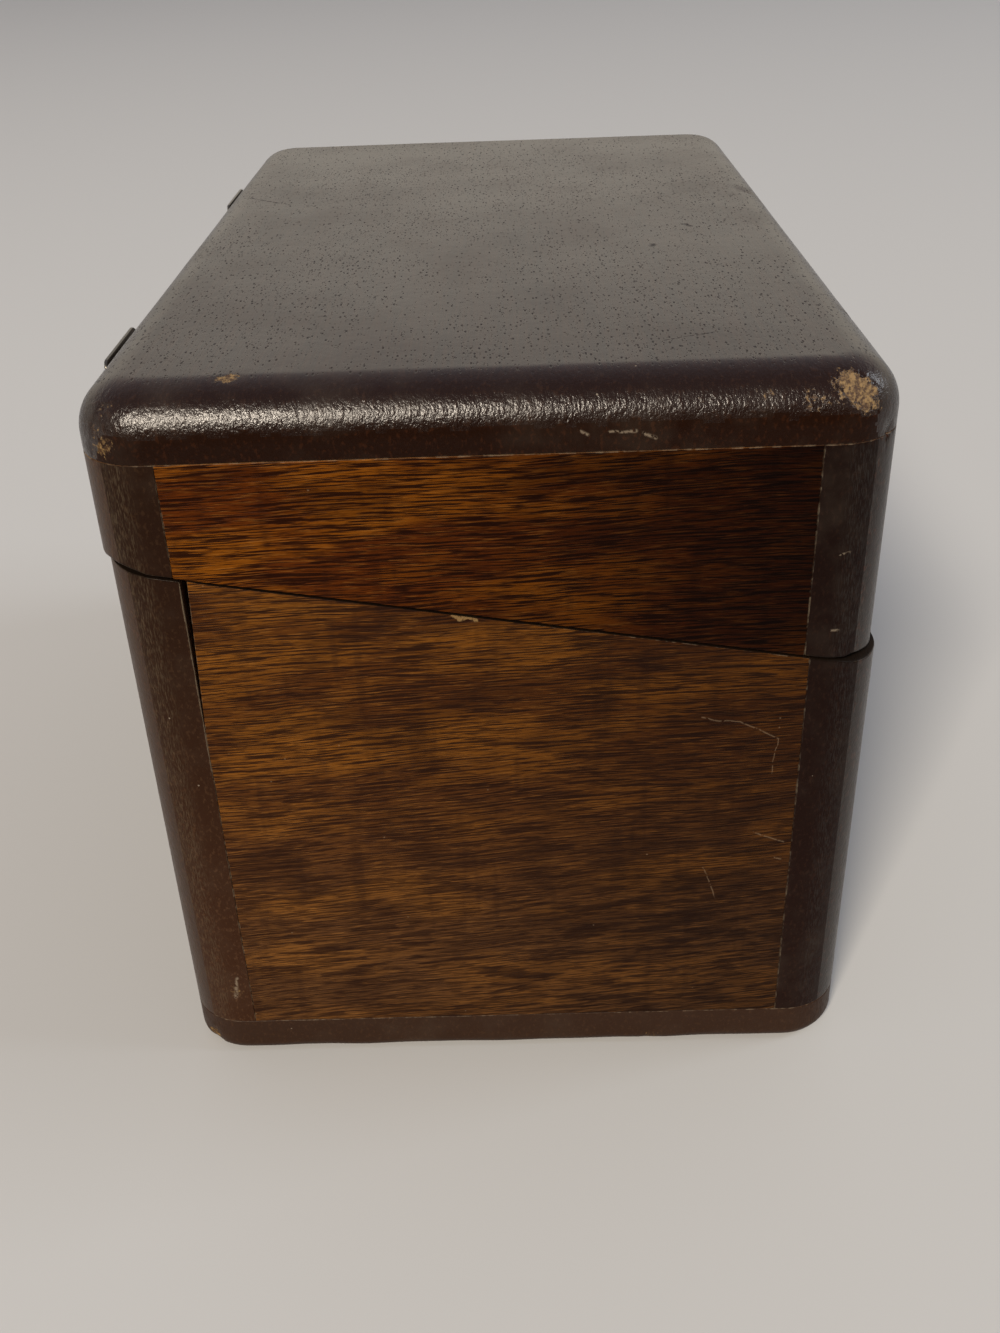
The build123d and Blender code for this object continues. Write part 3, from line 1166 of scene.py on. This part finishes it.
@dataclass(frozen=True)
class Finishes:
    """Every finish of the box, built.

    Attributes:
        wood: Materials by Side of the top board, the bottom board, the front, the rear and the
            end panels of either half.
        metal: Materials of the hinges, by name.
    """

    wood: dict[str, tuple[Material, ...]]
    metal: dict[str, Material]

    @classmethod
    def build(cls) -> "Finishes":
        """Builds every finish.

        Returns:
            The finishes.
        """
        effects = Effects.build()

        def stained(name: str, *values: object, **more: object) -> Material:
            """Builds one stained finish."""
            return StainedWood(f"stained_wood_{name}", *values, **more).material(effects)

        def figured(name: str, *values: object, **more: object) -> Material:
            """Builds one figured finish."""
            return FiguredWood(f"figured_wood_{name}", *values, **more).material(effects)

        hidden = (
            stained("inside", 0.25, linear(62, 42, 29), linear(90, 64, 43), linear(50, 34, 24),
                    roughness=0.62, pore_density=0.4, wear=0.25, dust=0.5),
            # The sawn rims go dark near the outside: stain soaked in, and painted shade of the gap.
            stained("sawn", 0.1, linear(82, 56, 36), linear(112, 80, 52), linear(66, 45, 30),
                    roughness=0.7, pore_density=0.5, wear=-0.5, dust=0.4,
                    seep=0.95, seep_start=0.0),
        )
        top = stained(
            "top", 0.5, linear(27, 14, 8), linear(46, 27, 15), linear(27, 10, 3), speckle=0.11,
            scratches=(
                Scratch((-64.6, -20.6, 0.0), (-62.1, -27.1, 0.0), 0.3),
                Scratch((25.1, 44.2, 0.0), (17.3, 35.2, 0.0), 0.3),
                Scratch((-7.7, -30.7, 0.0), (-6.4, -30.2, 0.0), 0.8),
                Scratch((-19.4, -23.6, 0.0), (-18.4, -23.9, 0.0), 0.7),
            ),
        )
        top_end = stained(
            "top_end", 0.1, linear(27, 14, 8), linear(52, 26, 10), linear(28, 11, 3),
            roughness=0.36, speckle=0.06, wear=0.1,
            scratches=end_scratches(
                ((-10.0, 97.3), (-10.8, 96.9), 0.3), ((-13.2, 97.2), (-16.3, 97.2), 0.3),
                ((-17.2, 96.9), (-18.3, 96.5), 0.35),
            ),
        )
        front = stained("front", 0.2, linear(34, 16, 9), linear(66, 36, 21), linear(28, 14, 8),
                        roughness=0.3, wear=0.1, scuff=0.3)
        front_end = stained(
            "front_end", 0.06, linear(26, 14, 9), linear(40, 24, 17), linear(25, 12, 8),
            roughness=0.36, wear=0.1, scuff=0.12, fall=0.2,
            scratches=end_scratches(
                ((-40.9, 80.8), (-42.1, 80.9), 0.25), ((-40.9, 70.3), (-41.9, 70.2), 0.22),
                ((-45.7, 87.3), (-46.0, 86.0), 0.3),
            ),
        )
        rear = stained("rear", 0.17, linear(40, 21, 11), linear(70, 42, 24), linear(48, 28, 15),
                       roughness=0.3, wear=0.1, scuff=0.3, scuff_tone=linear(96, 84, 68))
        rear_end = stained(
            "rear_end", 0.07, linear(38, 22, 12), linear(66, 45, 29), linear(44, 25, 13),
            roughness=0.36, wear=0.1, scuff=0.35, scuff_tone=linear(96, 84, 66), fall=0.36,
            scratches=end_scratches(((40.3, 15.0), (40.9, 11.2), 0.45)),
        )
        bottom = stained("bottom", 0.1, linear(44, 28, 18), linear(66, 45, 30),
                         linear(51, 33, 22), roughness=0.4, seep=0.0)
        hidden_end = (
            figured("inside", 0.2, linear(104, 70, 40), linear(80, 52, 31), linear(50, 31, 19),
                    roughness=0.62, shade=0.2, seep=0.0),
            figured("sawn", 0.1, linear(126, 90, 54), linear(98, 66, 40), linear(66, 42, 26),
                    roughness=0.7, shade=0.1, wear=-0.5, seep=0.95, seep_start=0.0),
        )
        marks = end_scratches(
            ((-25.6, 58.0), (-30.4, 57.3), 0.16), ((-30.4, 57.3), (-35.4, 54.6), 0.16),
            ((-35.4, 54.6), (-34.8, 48.8), 0.12), ((-26.8, 33.3), (-28.6, 27.9), 0.14),
            ((-33.4, 39.3), (-37.6, 37.5), 0.2), ((-40.9, 70.2), (-41.8, 70.8), 0.2),
            ((-36.3, 34.9), (-37.2, 34.6), 0.2),
        )
        lid_end = figured("lid", 0.05, linear(121, 68, 8), linear(85, 39, 4), linear(30, 8, 1),
                          shade=0.9, contrast=0.95, scratches=marks)
        base_end = figured("base", 0.08, linear(116, 70, 17), linear(79, 43, 10),
                           linear(34, 14, 4), shade=0.54, contrast=0.9, scratches=marks)
        metals = (
            PlatedSteel("hinge_steel", 0.5, linear(120, 116, 108), linear(58, 52, 46), 0.3, 0.8),
            PlatedSteel("screw_steel", 0.5, linear(176, 170, 156), linear(84, 74, 60), 0.36, 0.7),
        )
        wood = {
            "top_board": (top, *hidden, top_end), "bottom_board": (bottom, *hidden),
            "front": (front, *hidden, front_end), "rear": (rear, *hidden, rear_end),
            "lid_end": (lid_end, *hidden_end), "base_end": (base_end, *hidden_end),
        }
        return cls(wood, {finish.name: finish.material(effects) for finish in metals})


# ---------------------------------------------------------------- the two halves


def saw_cut() -> Height:
    """Reads the slant of the saw cut off the base's two long walls.

    Returns:
        A function that gives the height of the base's rim at a depth.
    """
    _, front = node_box("base_front_panel")
    _, rear = node_box("base_rear_panel")
    slope = (rear[2] - front[2]) / (rear[1] - front[1])
    return lambda y: front[2] + slope * (y - front[1])


@dataclass
class BoxHalf:
    """What the lid and the base have in common.

    Attributes:
        body: The body that its boards ride on.
        plate: Name of its top or bottom board.
        wall: Name of its long walls.
        up: +1 where the saw cut is above the boards, -1 where it is below them.
        rounding: Radius round the plate's outer face.
        knocks: The knocks in its boards.
        thickness: Thickness of the end panels.
        tongue_inset: Depth of a tongue behind the outer end face.
        tongue_thickness: Thickness of a tongue.
        tongue_length: How far a tongue goes into its wall.
        joint_ease: Radius of the edges at a glue joint.
        joint_width: How far the mark of a glue joint reaches.
        rim_ease: Radius of the long walls' edges at the saw cut.
        panel_ease: Radius of the end panels' edges there.
    """

    body: str
    plate: str
    wall: str
    up: int
    rounding: float
    knocks: tuple[Dent, ...]
    thickness: float = 10.0
    tongue_inset: float = 3.0
    tongue_thickness: float = 4.0
    tongue_length: float = 4.0
    joint_ease: float = 0.16
    joint_width: float = 0.34
    rim_ease: float = 0.24
    panel_ease: float = 0.1

    def build(self, finishes: Finishes) -> None:
        """Builds the half's boards, each over its CAD node.

        Args:
            finishes: The finishes of the box.
        """
        self._measure()
        self._finish(self._plate(), finishes.wood[self.plate])
        for side, name in ((-1, "front"), (1, "rear")):
            board = self._long_wall(f"{self.body}_{name}_{self.wall}", side)
            self._ease(board, plane((0, self.inner[side], 0), (0, -side, 0)))
            self._finish(board, finishes.wood[name])
        for end, name in ((-1, "left"), (1, "right")):
            board = self._end_panel(f"{self.body}_{name}_end_panel", end)
            joints = (plane((0, self.inner[side], 0), (0, side, 0)) for side in (-1, 1))
            inner = end * (self.outline.half_length - self.thickness)
            self._ease(board, *joints, plane((inner, 0, 0), (-end, 0, 0)))
            self._finish(board, finishes.wood[f"{self.body}_end"])

    def _measure(self) -> None:
        """Reads the half's sizes off its CAD nodes."""
        low, high = node_box(f"{self.body}_{self.plate}")
        _, front_high = node_box(f"{self.body}_front_{self.wall}")
        rear_low, rear_high = node_box(f"{self.body}_rear_{self.wall}")
        self.outline = Outline(high[0], low[1], high[1])
        self.inner = {-1: front_high[1], 1: rear_low[1]}
        self.joint_z, self.outer_z = (high[2], low[2])[:: self.up]
        cut = saw_cut()
        lift = 0.0 if self.up > 0 else rear_low[2] - cut(rear_low[1])
        self.rim_height = lambda y: cut(y) + lift
        lowest = low[1] if self.up > 0 else rear_high[1]
        self.least = self.up * (self.rim_height(lowest) - self.joint_z)
        self.heights = (lambda y: np.full_like(y, self.joint_z), self.rim_height)[:: self.up]
        slope = cut(1.0) - cut(0.0)
        self.rim = plane((0, 0, self.rim_height(0.0)), (0, -self.up * slope, self.up))

    def _tongue_x(self, end: int) -> tuple[float, float]:
        """Gives the limits along X of the tongue at end -1 or +1."""
        outer = end * (self.outline.half_length - self.tongue_inset)
        return tuple(sorted((outer, outer - end * self.tongue_thickness)))

    def _long_wall(self, node: str, side: int) -> Board:
        """Lays out the front or the rear wall.

        Args:
            node: Its CAD node.
            side: -1 for the front, +1 for the rear.

        Returns:
            The board.
        """
        half, radius = self.outline.half_length, self.outline.corner_radius
        inner = self.inner[side]
        outer = self.outline.low_y if side < 0 else self.outline.high_y
        tip = inner + side * self.tongue_length
        y_range = sorted((inner, outer))
        tongues = [self._tongue_x(end) for end in (-1, 1)]
        lines = (
            grid_lines(-half, half, 1.4, (*tongues[0], *tongues[1]), radius),
            grid_lines(*y_range, 0.5, (tip,)),
            grid_lines(0, self.least, 1.1),
        )
        voids = [(*tongue, *sorted((inner, tip))) for tongue in tongues]
        solids = [(-half, half, *y_range)]
        return Board(node, Kind.LONG_WALL, self.outline, lines, *self.heights, solids, voids)

    def _end_panel(self, node: str, end: int) -> Board:
        """Lays out the left or the right end panel.

        Args:
            node: Its CAD node.
            end: -1 for the left, +1 for the right.

        Returns:
            The board.
        """
        outer = end * self.outline.half_length
        x_range = sorted((outer - end * self.thickness, outer))
        tongue = self._tongue_x(end)
        front, rear = self.inner[-1], self.inner[1]
        reach = self.tongue_length
        lines_y = np.concatenate([
            np.linspace(front - reach, front, 6)[:-1],
            grid_lines(front, rear, 0.9),
            np.linspace(rear, rear + reach, 6)[1:],
        ])
        lines = grid_lines(*x_range, 1.2, tongue), lines_y, grid_lines(0, self.least, 0.9)
        solids = [(*x_range, front, rear), (*tongue, front - reach, rear + reach)]
        return Board(node, Kind.END_PANEL, self.outline, lines, *self.heights, solids)

    def _plate(self) -> Board:
        """Lays out the board that has the half's whole plan.

        Returns:
            The board, with its edges eased.
        """
        outline = self.outline
        half, radius = outline.half_length, outline.corner_radius
        y_range = outline.low_y, outline.high_y
        low, high = sorted((self.joint_z, self.outer_z))
        lines = (
            grid_lines(-half, half, 1.2, (), radius),
            grid_lines(*y_range, 1.2, (), radius),
            grid_lines(low, high, 0.6, (), self.rounding),
        )
        faces = lambda y: np.full_like(y, low), lambda y: np.full_like(y, high)
        node = f"{self.body}_{self.plate}"
        board = Board(node, Kind.PLATE, outline, lines, *faces, [(-half, half, *y_range)])
        board.sides[board.sides == Side.SAWN] = Side.INSIDE
        level = 0 if self.up > 0 else board.grid[:, 2].max()
        board.sides[(board.grid[:, 2] == level)[board.quads].all(axis=1)] = Side.OUTSIDE
        self.round_off(board, plane((0, 0, self.outer_z), (0, 0, -self.up)))
        joint = plane((0, 0, self.joint_z), (0, 0, self.up))
        board.ease(outline.face, joint, self.joint_ease, "joint", self.joint_width)
        return board

    def _ease(self, board: Board, *faces: Face) -> None:
        """Eases the edges of a wall or an end panel.

        Args:
            board: The board.
            *faces: Its upright faces at the glue joints and inside.
        """
        outside = self.outline.face
        joint = plane((0, 0, self.joint_z), (0, 0, -self.up))
        outer_ease = self.rim_ease if board.kind is Kind.LONG_WALL else self.panel_ease
        for count, face in enumerate(faces):
            board.ease(outside, face, self.joint_ease, "joint", self.joint_width, seed=11 + count)
            board.ease(face, self.rim, self.rim_ease * 0.8, "edge", 0.8, seed=31 + count)
        board.ease(outside, joint, self.joint_ease, "joint", self.joint_width, seed=17)
        board.ease(outside, self.rim, outer_ease, "edge", 1.0, seed=23, inward=2.6)

    def _finish(self, board: Board, materials: Sequence[Material]) -> None:
        """Knocks a board about, ages it and writes it.

        Args:
            board: The board.
            materials: Its finishes by Side.
        """
        for dent in self.knocks:
            dent.press(board.points, board.marks["bare"])
        self.age(board)
        board.write(self.body, materials)

    def round_off(self, board: Board, face: Face) -> None:
        """Rounds the plate at its outer face, and marks its edge as rubbed."""
        board.ease(self.outline.face, face, self.rounding, "edge", 1.2, 0.1)

    def age(self, board: Board) -> None:
        """Sets the end grain of a long wall apart."""
        if board.kind is Kind.LONG_WALL:
            board.mark_ends()


@dataclass
class Lid(BoxHalf):
    """The lid: a top board on two rails and two end panels."""

    body: str = "lid"
    plate: str = "top_board"
    wall: str = "rail"
    up: int = -1
    rounding: float = 6.4
    knocks: tuple[Dent, ...] = (
        Dent((-75.5, -41.3, 99.7), 4.2, (0.2, 0.12, -0.12), 0.92, 2),
        Dent((-76.4, -37.4, 99.3), 2.9, (0.06, 0, -0.04), 0.72, 3),
        Dent((-76.6, -31.0, 100.0), 1.8, (0.05, 0, 0), 0.42, 4),
        Dent((-76.5, -23.6, 99.9), 1.5, (0.05, 0, 0), 0.4, 32),
        Dent((-72.6, 30.6, 102.9), 2.0, (0, 0, -0.1), 1.0, 5),
        Dent((-77.4, 45.6, 97.0), 2.9, (0.12, -0.1, 0), 0.5, 6),
        Dent((-75.6, 44.0, 100.6), 1.5, (0.1, -0.1, -0.1), 0.5, 7),
        Dent((18.5, -43.6, 103.0), 2.6, (0, 0.3, -0.35), 0.1, 8),
        Dent((-51.4, -45.7, 101.0), 1.7, (0, 0.25, -0.2), 0.2, 9),
        Dent((-77.9, 46.2, 90.0), 1.4, (0.1, -0.08, 0), 0.6, 10),
        Dent((40.0, -46.8, 100.5), 1.8, (0, 0.2, -0.2), 0.5, 12),
        Dent((75.6, 45.5, 99.6), 3.2, (-0.2, -0.2, -0.2), 0.8, 13),
        Dent((75.2, -42.0, 100.2), 2.6, (-0.2, 0.2, -0.15), 0.6, 14),
        Dent((-76.0, -46.2, 94.8), 1.9, (0.28, 0.24, 0), 0.0, 15),
        Dent((-77.0, 45.5, 81.5), 4.6, (0, 0, 0.3), 0.0, 16),
        Dent((-76.8, -45.5, 65.8), 4.6, (0, 0, 0.3), 0.0, 17),
    )

    def round_off(self, board: Board, face: Face) -> None:
        """Rounds the top evenly, and leaves its flat part slightly hollow.

        Args:
            board: The top board.
            face: Its upper face.
        """
        board.ease(self.outline.face, face, self.rounding, None, unevenness=0.0)
        hollow = np.clip(0.5 + 0.5 * wobble(board.points, 22, 41), 0, 1)
        height = board.points[:, 2]
        height -= 0.05 * hollow * fade(height, self.outer_z - 2, self.outer_z)

    def age(self, board: Board) -> None:
        """Leaves the top uneven, and its end grain set apart below the highlight.

        Args:
            board: One of the lid's boards.
        """
        super().age(board)
        if board.kind is Kind.PLATE:
            board.ripple(0.05, 16, 43)
            board.mark_ends(98.2, 0.08)


@dataclass
class Base(BoxHalf):
    """The base: two long walls and two end panels on a bottom board.

    Attributes:
        gap_width: Width of the open joint at its top.
        gap_depth: How far down the open joint goes.
    """

    body: str = "base"
    plate: str = "bottom_board"
    wall: str = "panel"
    up: int = 1
    rounding: float = 1.9
    knocks: tuple[Dent, ...] = (
        Dent((-78.2, 5.2, 74.0), 1.2, (0.1, 0, -0.05), 0.7, 21),
        Dent((-78.2, 4.1, 73.8), 1.0, (0.1, 0, -0.05), 0.8, 30),
        Dent((-78.2, 3.1, 73.7), 0.8, (0.05, 0, -0.05), 0.7, 31),
        Dent((-78.2, 40.6, 12.6), 1.9, (0.05, 0, 0), 0.4, 22),
        Dent((-76.8, 46.4, 24.0), 1.3, (0.08, -0.08, 0), 0.6, 23),
        Dent((-76.0, 45.6, 1.6), 2.4, (0.15, -0.15, 0.15), 0.6, 24),
        Dent((-78.0, -20.0, 1.0), 1.4, (0.1, 0, 0.1), 0.5, 25),
        Dent((60.0, -48.4, 1.2), 2.0, (0, 0.15, 0.15), 0.6, 26),
        Dent((77.0, 44.6, 2.0), 2.8, (-0.2, -0.15, 0.2), 0.8, 27),
        Dent((-77.0, 45.5, 81.0), 4.6, (0, 0, -0.3), 0.0, 28),
        Dent((-76.8, -45.5, 65.4), 4.6, (0, 0, -0.3), 0.0, 29),
    )
    gap_width: float = 0.9
    gap_depth: float = 22.0

    def age(self, board: Board) -> None:
        """Opens the joint between the left end panel and the rear wall.

        Args:
            board: One of the base's boards.
        """
        super().age(board)
        if board.node == "base_rear_panel":
            self._bare_glue_line(board)
            self._pale_rim(board)
        if board.node == "base_left_end_panel":
            self._open_joint(board)
            self._pale_rim(board)

    def _bare_glue_line(self, board: Board) -> None:
        """Bares the glue line of the rear wall where the joint has opened."""
        across, _, height = board.points.T
        board.marks["joint"][(across < 0) & (height > height.max() - 1.4 * self.gap_depth)] *= 1.6

    def _pale_rim(self, board: Board) -> None:
        """Bares the very edge of the rim on the left end, but not beside the open joint.

        Args:
            board: A board with a part of that edge.
        """
        across, deep, _ = board.points.T
        left = across < -0.9 * self.outline.half_length
        bared = left & ((deep < -2) | (deep > self.inner[1] + 0.5))
        line = np.clip((board.marks["edge"] - 0.66) / 0.34, 0, 1) * bared
        np.maximum(board.marks["joint"], line, out=board.marks["joint"])

    def _open_joint(self, board: Board) -> None:
        """Draws the left end panel away from the rear wall, most at the top.

        Args:
            board: The panel, changed in place.
        """
        rear, reach = self.inner[1], self.tongue_length
        _, deep, height = board.points.T
        low_down = (self.rim_height(rear) - height) / self.gap_depth
        share = np.clip((deep - rear + reach) / reach, 0, 1)
        deep -= self.gap_width * np.clip(1 - low_down, 0, 1.2) * share


# ---------------------------------------------------------------- hinges


@dataclass
class Hinge:
    """One butt hinge of rolled sheet, with its pin and screws.

    Attributes:
        side: "left" or "right".
        bend: How far the free end of the lid's leaf stands off the wood.
        bend_height: How much of the leaf bends, down from its free end.
        bend_steps: Number of cuts in the part that bends.
        thinned: How much thinner the free end is than the sheet.
        edge: Width of the softened edges of the sheet.
        pin_edge: Width of the softened edges of the pin, as a share of the sheet's.
        screw_edge: Width of the softened edges of a screw, as a share of the sheet's.
    """

    SHARP_ANGLE: ClassVar[float] = math.radians(40)

    side: str
    bend: float
    bend_height: float = 4.6
    bend_steps: int = 6
    thinned: float = 0.38
    edge: float = 0.18
    pin_edge: float = 0.6
    screw_edge: float = 0.4

    def build(self, finishes: Finishes) -> None:
        """Builds the hinge's pieces over their CAD nodes.

        Args:
            finishes: The finishes of the box.
        """
        for part, body, slot, share in (
            ("lid_leaf", "lid", "hinge_steel", 1.0),
            ("base_leaf", "base", "hinge_steel", 1.0),
            ("pin", "base", "hinge_steel", self.pin_edge),
            ("lid_screws", "lid", "screw_steel", self.screw_edge),
            ("base_screws", "base", "screw_steel", self.screw_edge),
        ):
            node = f"{self.side}_hinge_{part}"
            mesh = self._soften(node, self.edge * share)
            mesh.materials.append(finishes.metal[slot])
            mesh.polygons.foreach_set("material_index", [0] * len(mesh.polygons))
            mesh.polygons.foreach_set("use_smooth", [True] * len(mesh.polygons))
            mesh.set_sharp_from_angle(angle=self.SHARP_ANGLE)
            dress(bpy.data.objects.new(f"{node}_metal", mesh), body, node)

    def _soften(self, node: str, edge: float) -> bpy.types.Mesh:
        """Copies a CAD node and softens its sharp edges.

        Args:
            node: Name of the node.
            edge: Width of the softened edges.

        Returns:
            The mesh, without a material.
        """
        shape = bmesh.new()
        shape.from_mesh(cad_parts[node].data)
        bmesh.ops.remove_doubles(shape, verts=shape.verts, dist=1e-6)
        bmesh.ops.dissolve_limit(
            shape, angle_limit=math.radians(2), verts=shape.verts, edges=shape.edges
        )
        least = math.radians(35)
        sharp = [e for e in shape.edges if len(e.link_faces) == 2 and e.calc_face_angle() > least]
        rubbed = shape.verts.layers.float.new("edge")
        softened = bmesh.ops.bevel(
            shape, geom=sharp, offset=edge * MM, segments=2, profile=0.5, affect="EDGES",
            clamp_overlap=True,
        )
        for vertex in softened["verts"]:
            vertex[rubbed] = 1.0
        if node.endswith("lid_leaf"):
            self._bend(shape)
        mesh = bpy.data.meshes.new(node)
        shape.to_mesh(mesh)
        shape.free()
        mesh.materials.clear()
        return mesh

    def _bend(self, shape: bmesh.types.BMesh) -> None:
        """Bends the free end of the lid's leaf off the wood, as years of use have.

        Args:
            shape: The leaf, changed in place.
        """
        top = max(vertex.co.z for vertex in shape.verts)
        length = self.bend_height * MM
        for count in range(self.bend_steps):
            height = top - length * (1 - count / self.bend_steps)
            bmesh.ops.bisect_plane(
                shape, geom=[*shape.verts, *shape.edges, *shape.faces],
                plane_co=(0, 0, height), plane_no=(0, 0, 1),
            )
        bent = [vertex.co.y for vertex in shape.verts if vertex.co.z > top - length]
        front, back = min(bent), max(bent)
        for vertex in shape.verts:
            share = max(0.0, 1 - (top - vertex.co.z) / length)
            inner = min(1.0, max(0.0, (back - vertex.co.y) / (back - front)))
            vertex.co.y += (self.bend * share**1.6 + self.thinned * inner * share**0.5) * MM


# ---------------------------------------------------------------- studio


def stage_face(
    name: str, corners: Sequence[Place], inputs: dict[str, object], reflected_only: bool = False
) -> None:
    """Sets up a flat face of the studio.

    Args:
        name: Its name.
        corners: Its four corners in metres.
        inputs: Uniform values of its shader.
        reflected_only: Whether it shows in reflections alone.
    """
    mesh = bpy.data.meshes.new(name)
    mesh.from_pydata(corners, [], [(0, 1, 2, 3)])
    mesh.materials.append(Paint(name, inputs).material)
    made = bpy.data.objects.new(name, mesh)
    bpy.context.scene.collection.objects.link(made)
    if reflected_only:
        made.visible_camera = made.visible_diffuse = made.visible_shadow = False


@dataclass(frozen=True)
class SoftBox:
    """A soft light that faces the box.

    Attributes:
        name: Name of the light.
        azimuth: Direction of the light in plan, in degrees from +X towards +Y.
        elevation: Height of the light in degrees.
        size: Width and height in metres.
        radiance: Brightness of its face, where 1 is white.
        colour: Its tint.
        distance: Distance from the target in metres.
        target: Where it faces, in metres.
    """

    name: str
    azimuth: float
    elevation: float
    size: tuple[float, float]
    radiance: float
    colour: Place
    distance: float = 4.0
    target: Place = (-0.05, 0.0, 0.06)

    def build(self) -> None:
        """Hangs the light."""
        lamp = bpy.data.lights.new(self.name, "AREA")
        lamp.shape = "RECTANGLE"
        lamp.size, lamp.size_y = self.size
        lamp.energy = math.pi * self.size[0] * self.size[1] * self.radiance
        lamp.color = self.colour
        holder = bpy.data.objects.new(self.name, lamp)
        turn, rise = math.radians(self.azimuth), math.radians(self.elevation)
        level = math.cos(rise)
        away = Vector((math.cos(turn) * level, math.sin(turn) * level, math.sin(rise)))
        holder.location = Vector(self.target) + away * self.distance
        holder.rotation_euler = away.to_track_quat("Z", "Y").to_euler()
        bpy.context.scene.collection.objects.link(holder)


@dataclass(frozen=True)
class Studio:
    """The floor, the lights and the camera.

    Attributes:
        camera_place: The camera in millimetres.
        camera_pitch: How far it looks down, in degrees.
        camera_yaw: How far it turns from +X towards +Y, in degrees.
        camera_roll: Its roll in degrees.
        focal_pixels: Focal length in pixels of the long side.
        long_side: Pixels of the long side.
        floor_size: Half of the floor's size in metres.
        floor_colour: Colour of the floor.
        card_place: Where the dark card stands along X, in metres.
        card_half: Half of its width along Y, in metres.
        card_height: Its height in metres.
        glow: Colours of the room by height, from straight down to straight up.
        lights: The soft lights.
    """

    camera_place: Place = (-222.17, -2.455, 153.13)
    camera_pitch: float = 31.0087
    camera_yaw: float = 1.0550
    camera_roll: float = -2.1707
    focal_pixels: float = 1340.86
    long_side: float = 1333.0
    floor_size: float = 4.0
    floor_colour: Colour = linear(204, 206, 207)
    card_place: float = -0.42
    card_half: float = 0.8
    card_height: float = 0.24
    glow: tuple[tuple[float, Place], ...] = (
        (0.0, (0.5, 0.46, 0.4)), (0.16, (0.7, 0.64, 0.54)), (0.36, (0.66, 0.61, 0.55)),
        (0.52, (0.34, 0.32, 0.35)), (1.0, (0.28, 0.28, 0.32)),
    )
    lights: tuple[SoftBox, ...] = (
        SoftBox("key_softbox", 158, 36, (0.82, 0.66), 88.0, (1.0, 0.88, 0.73)),
        SoftBox("fill_softbox", -85, 32, (1.6, 1.2), 6.4, (0.9, 0.95, 1.0)),
    )

    def build(self) -> None:
        """Sets everything up."""
        self._camera()
        self._faces()
        self._world()
        for light in self.lights:
            light.build()
        bpy.context.scene.view_settings.view_transform = "Standard"
        log.info("studio: floor, %d lights and the camera", len(self.lights))

    def _camera(self) -> None:
        """Puts the camera where the photograph was taken from."""
        angles = self.camera_pitch, self.camera_yaw, self.camera_roll
        pitch, yaw, roll = (math.radians(angle) for angle in angles)
        level_part = math.cos(pitch)
        ahead = Vector((level_part * math.cos(yaw), level_part * math.sin(yaw), -math.sin(pitch)))
        level = ahead.cross(Vector((0, 0, 1))).normalized()
        upright = level.cross(ahead)
        right = math.cos(roll) * level + math.sin(roll) * upright
        up = -math.sin(roll) * level + math.cos(roll) * upright
        data = bpy.data.cameras.new("camera")
        data.sensor_fit = "AUTO"
        data.sensor_width = 36.0
        data.lens = self.focal_pixels / self.long_side * data.sensor_width
        data.clip_start = 0.01
        data.clip_end = 50.0
        camera = bpy.data.objects.new("camera", data)
        turn = Matrix((right, up, -ahead)).transposed().to_4x4()
        camera.matrix_world = Matrix.Translation(Vector(self.camera_place) * MM) @ turn
        bpy.context.scene.collection.objects.link(camera)
        bpy.context.scene.camera = camera

    def _faces(self) -> None:
        """Lays the plain pale floor, and stands a dark card that shows in reflections alone."""
        signs = (-1, -1), (1, -1), (1, 1), (-1, 1)
        floor = [(self.floor_size * x, self.floor_size * y, 0) for x, y in signs]
        finish = {"Base Color": self.floor_colour, "Roughness": 0.9, "Specular IOR Level": 0.1}
        stage_face("floor", floor, finish)
        x, half, top = self.card_place, self.card_half, self.card_height
        card = [(x, half * y, top * max(z, 0)) for y, z in signs]
        stage_face("flag", card, {"Base Color": linear(30, 30, 32), "Roughness": 0.9}, True)

    def _world(self) -> None:
        """Lights the room softly, more dimly from the camera's side, for diffuse light alone."""
        world = bpy.data.worlds.new("room")
        bpy.context.scene.world = world
        world.use_nodes = True
        world.node_tree.nodes.clear()
        sheet = Sheet(world.node_tree)
        ahead, _, height = sheet.split(sheet.take(sheet.node("TexCoord"), "Generated"))
        ramp = sheet.node("ValToRGB", (height,))
        while len(ramp.color_ramp.elements) < len(self.glow):
            ramp.color_ramp.elements.new(0.5)
        for element, (place, level) in zip(ramp.color_ramp.elements, self.glow):
            element.position = place
            element.color = (*level, 1.0)
        behind_box = sheet.step(ahead, -0.2, 0.35, 0.62, 1.0)
        low_down = sheet.step(height, 0.12, 0.4, 1.0, 0.0)
        camera_side = sheet.step(ahead, -0.7, -0.1, 1.0, 0.0) * low_down
        rays = sheet.node("LightPath")
        kinds = "Is Camera Ray", "Is Glossy Ray", "Is Transmission Ray"
        unseen = 1.0 - sheet.most(*(sheet.take(rays, kind) for kind in kinds))
        strength = behind_box * (1.0 - camera_side * unseen * 0.7)
        light = sheet.node("Background", {"Color": sheet.take(ramp), "Strength": strength})
        sheet.node("OutputWorld", {"Surface": sheet.take(light)})


def main() -> None:
    """Builds the box piece by piece, then the studio round it."""
    logging.basicConfig(level=logging.INFO, format="%(name)s: %(message)s")
    finishes = Finishes.build()
    Lid().build(finishes)
    Base().build(finishes)
    for side, bend in (("left", 0.45), ("right", 0.25)):
        Hinge(side, bend).build(finishes)
    Studio().build()


if __name__ == "__main__":
    main()
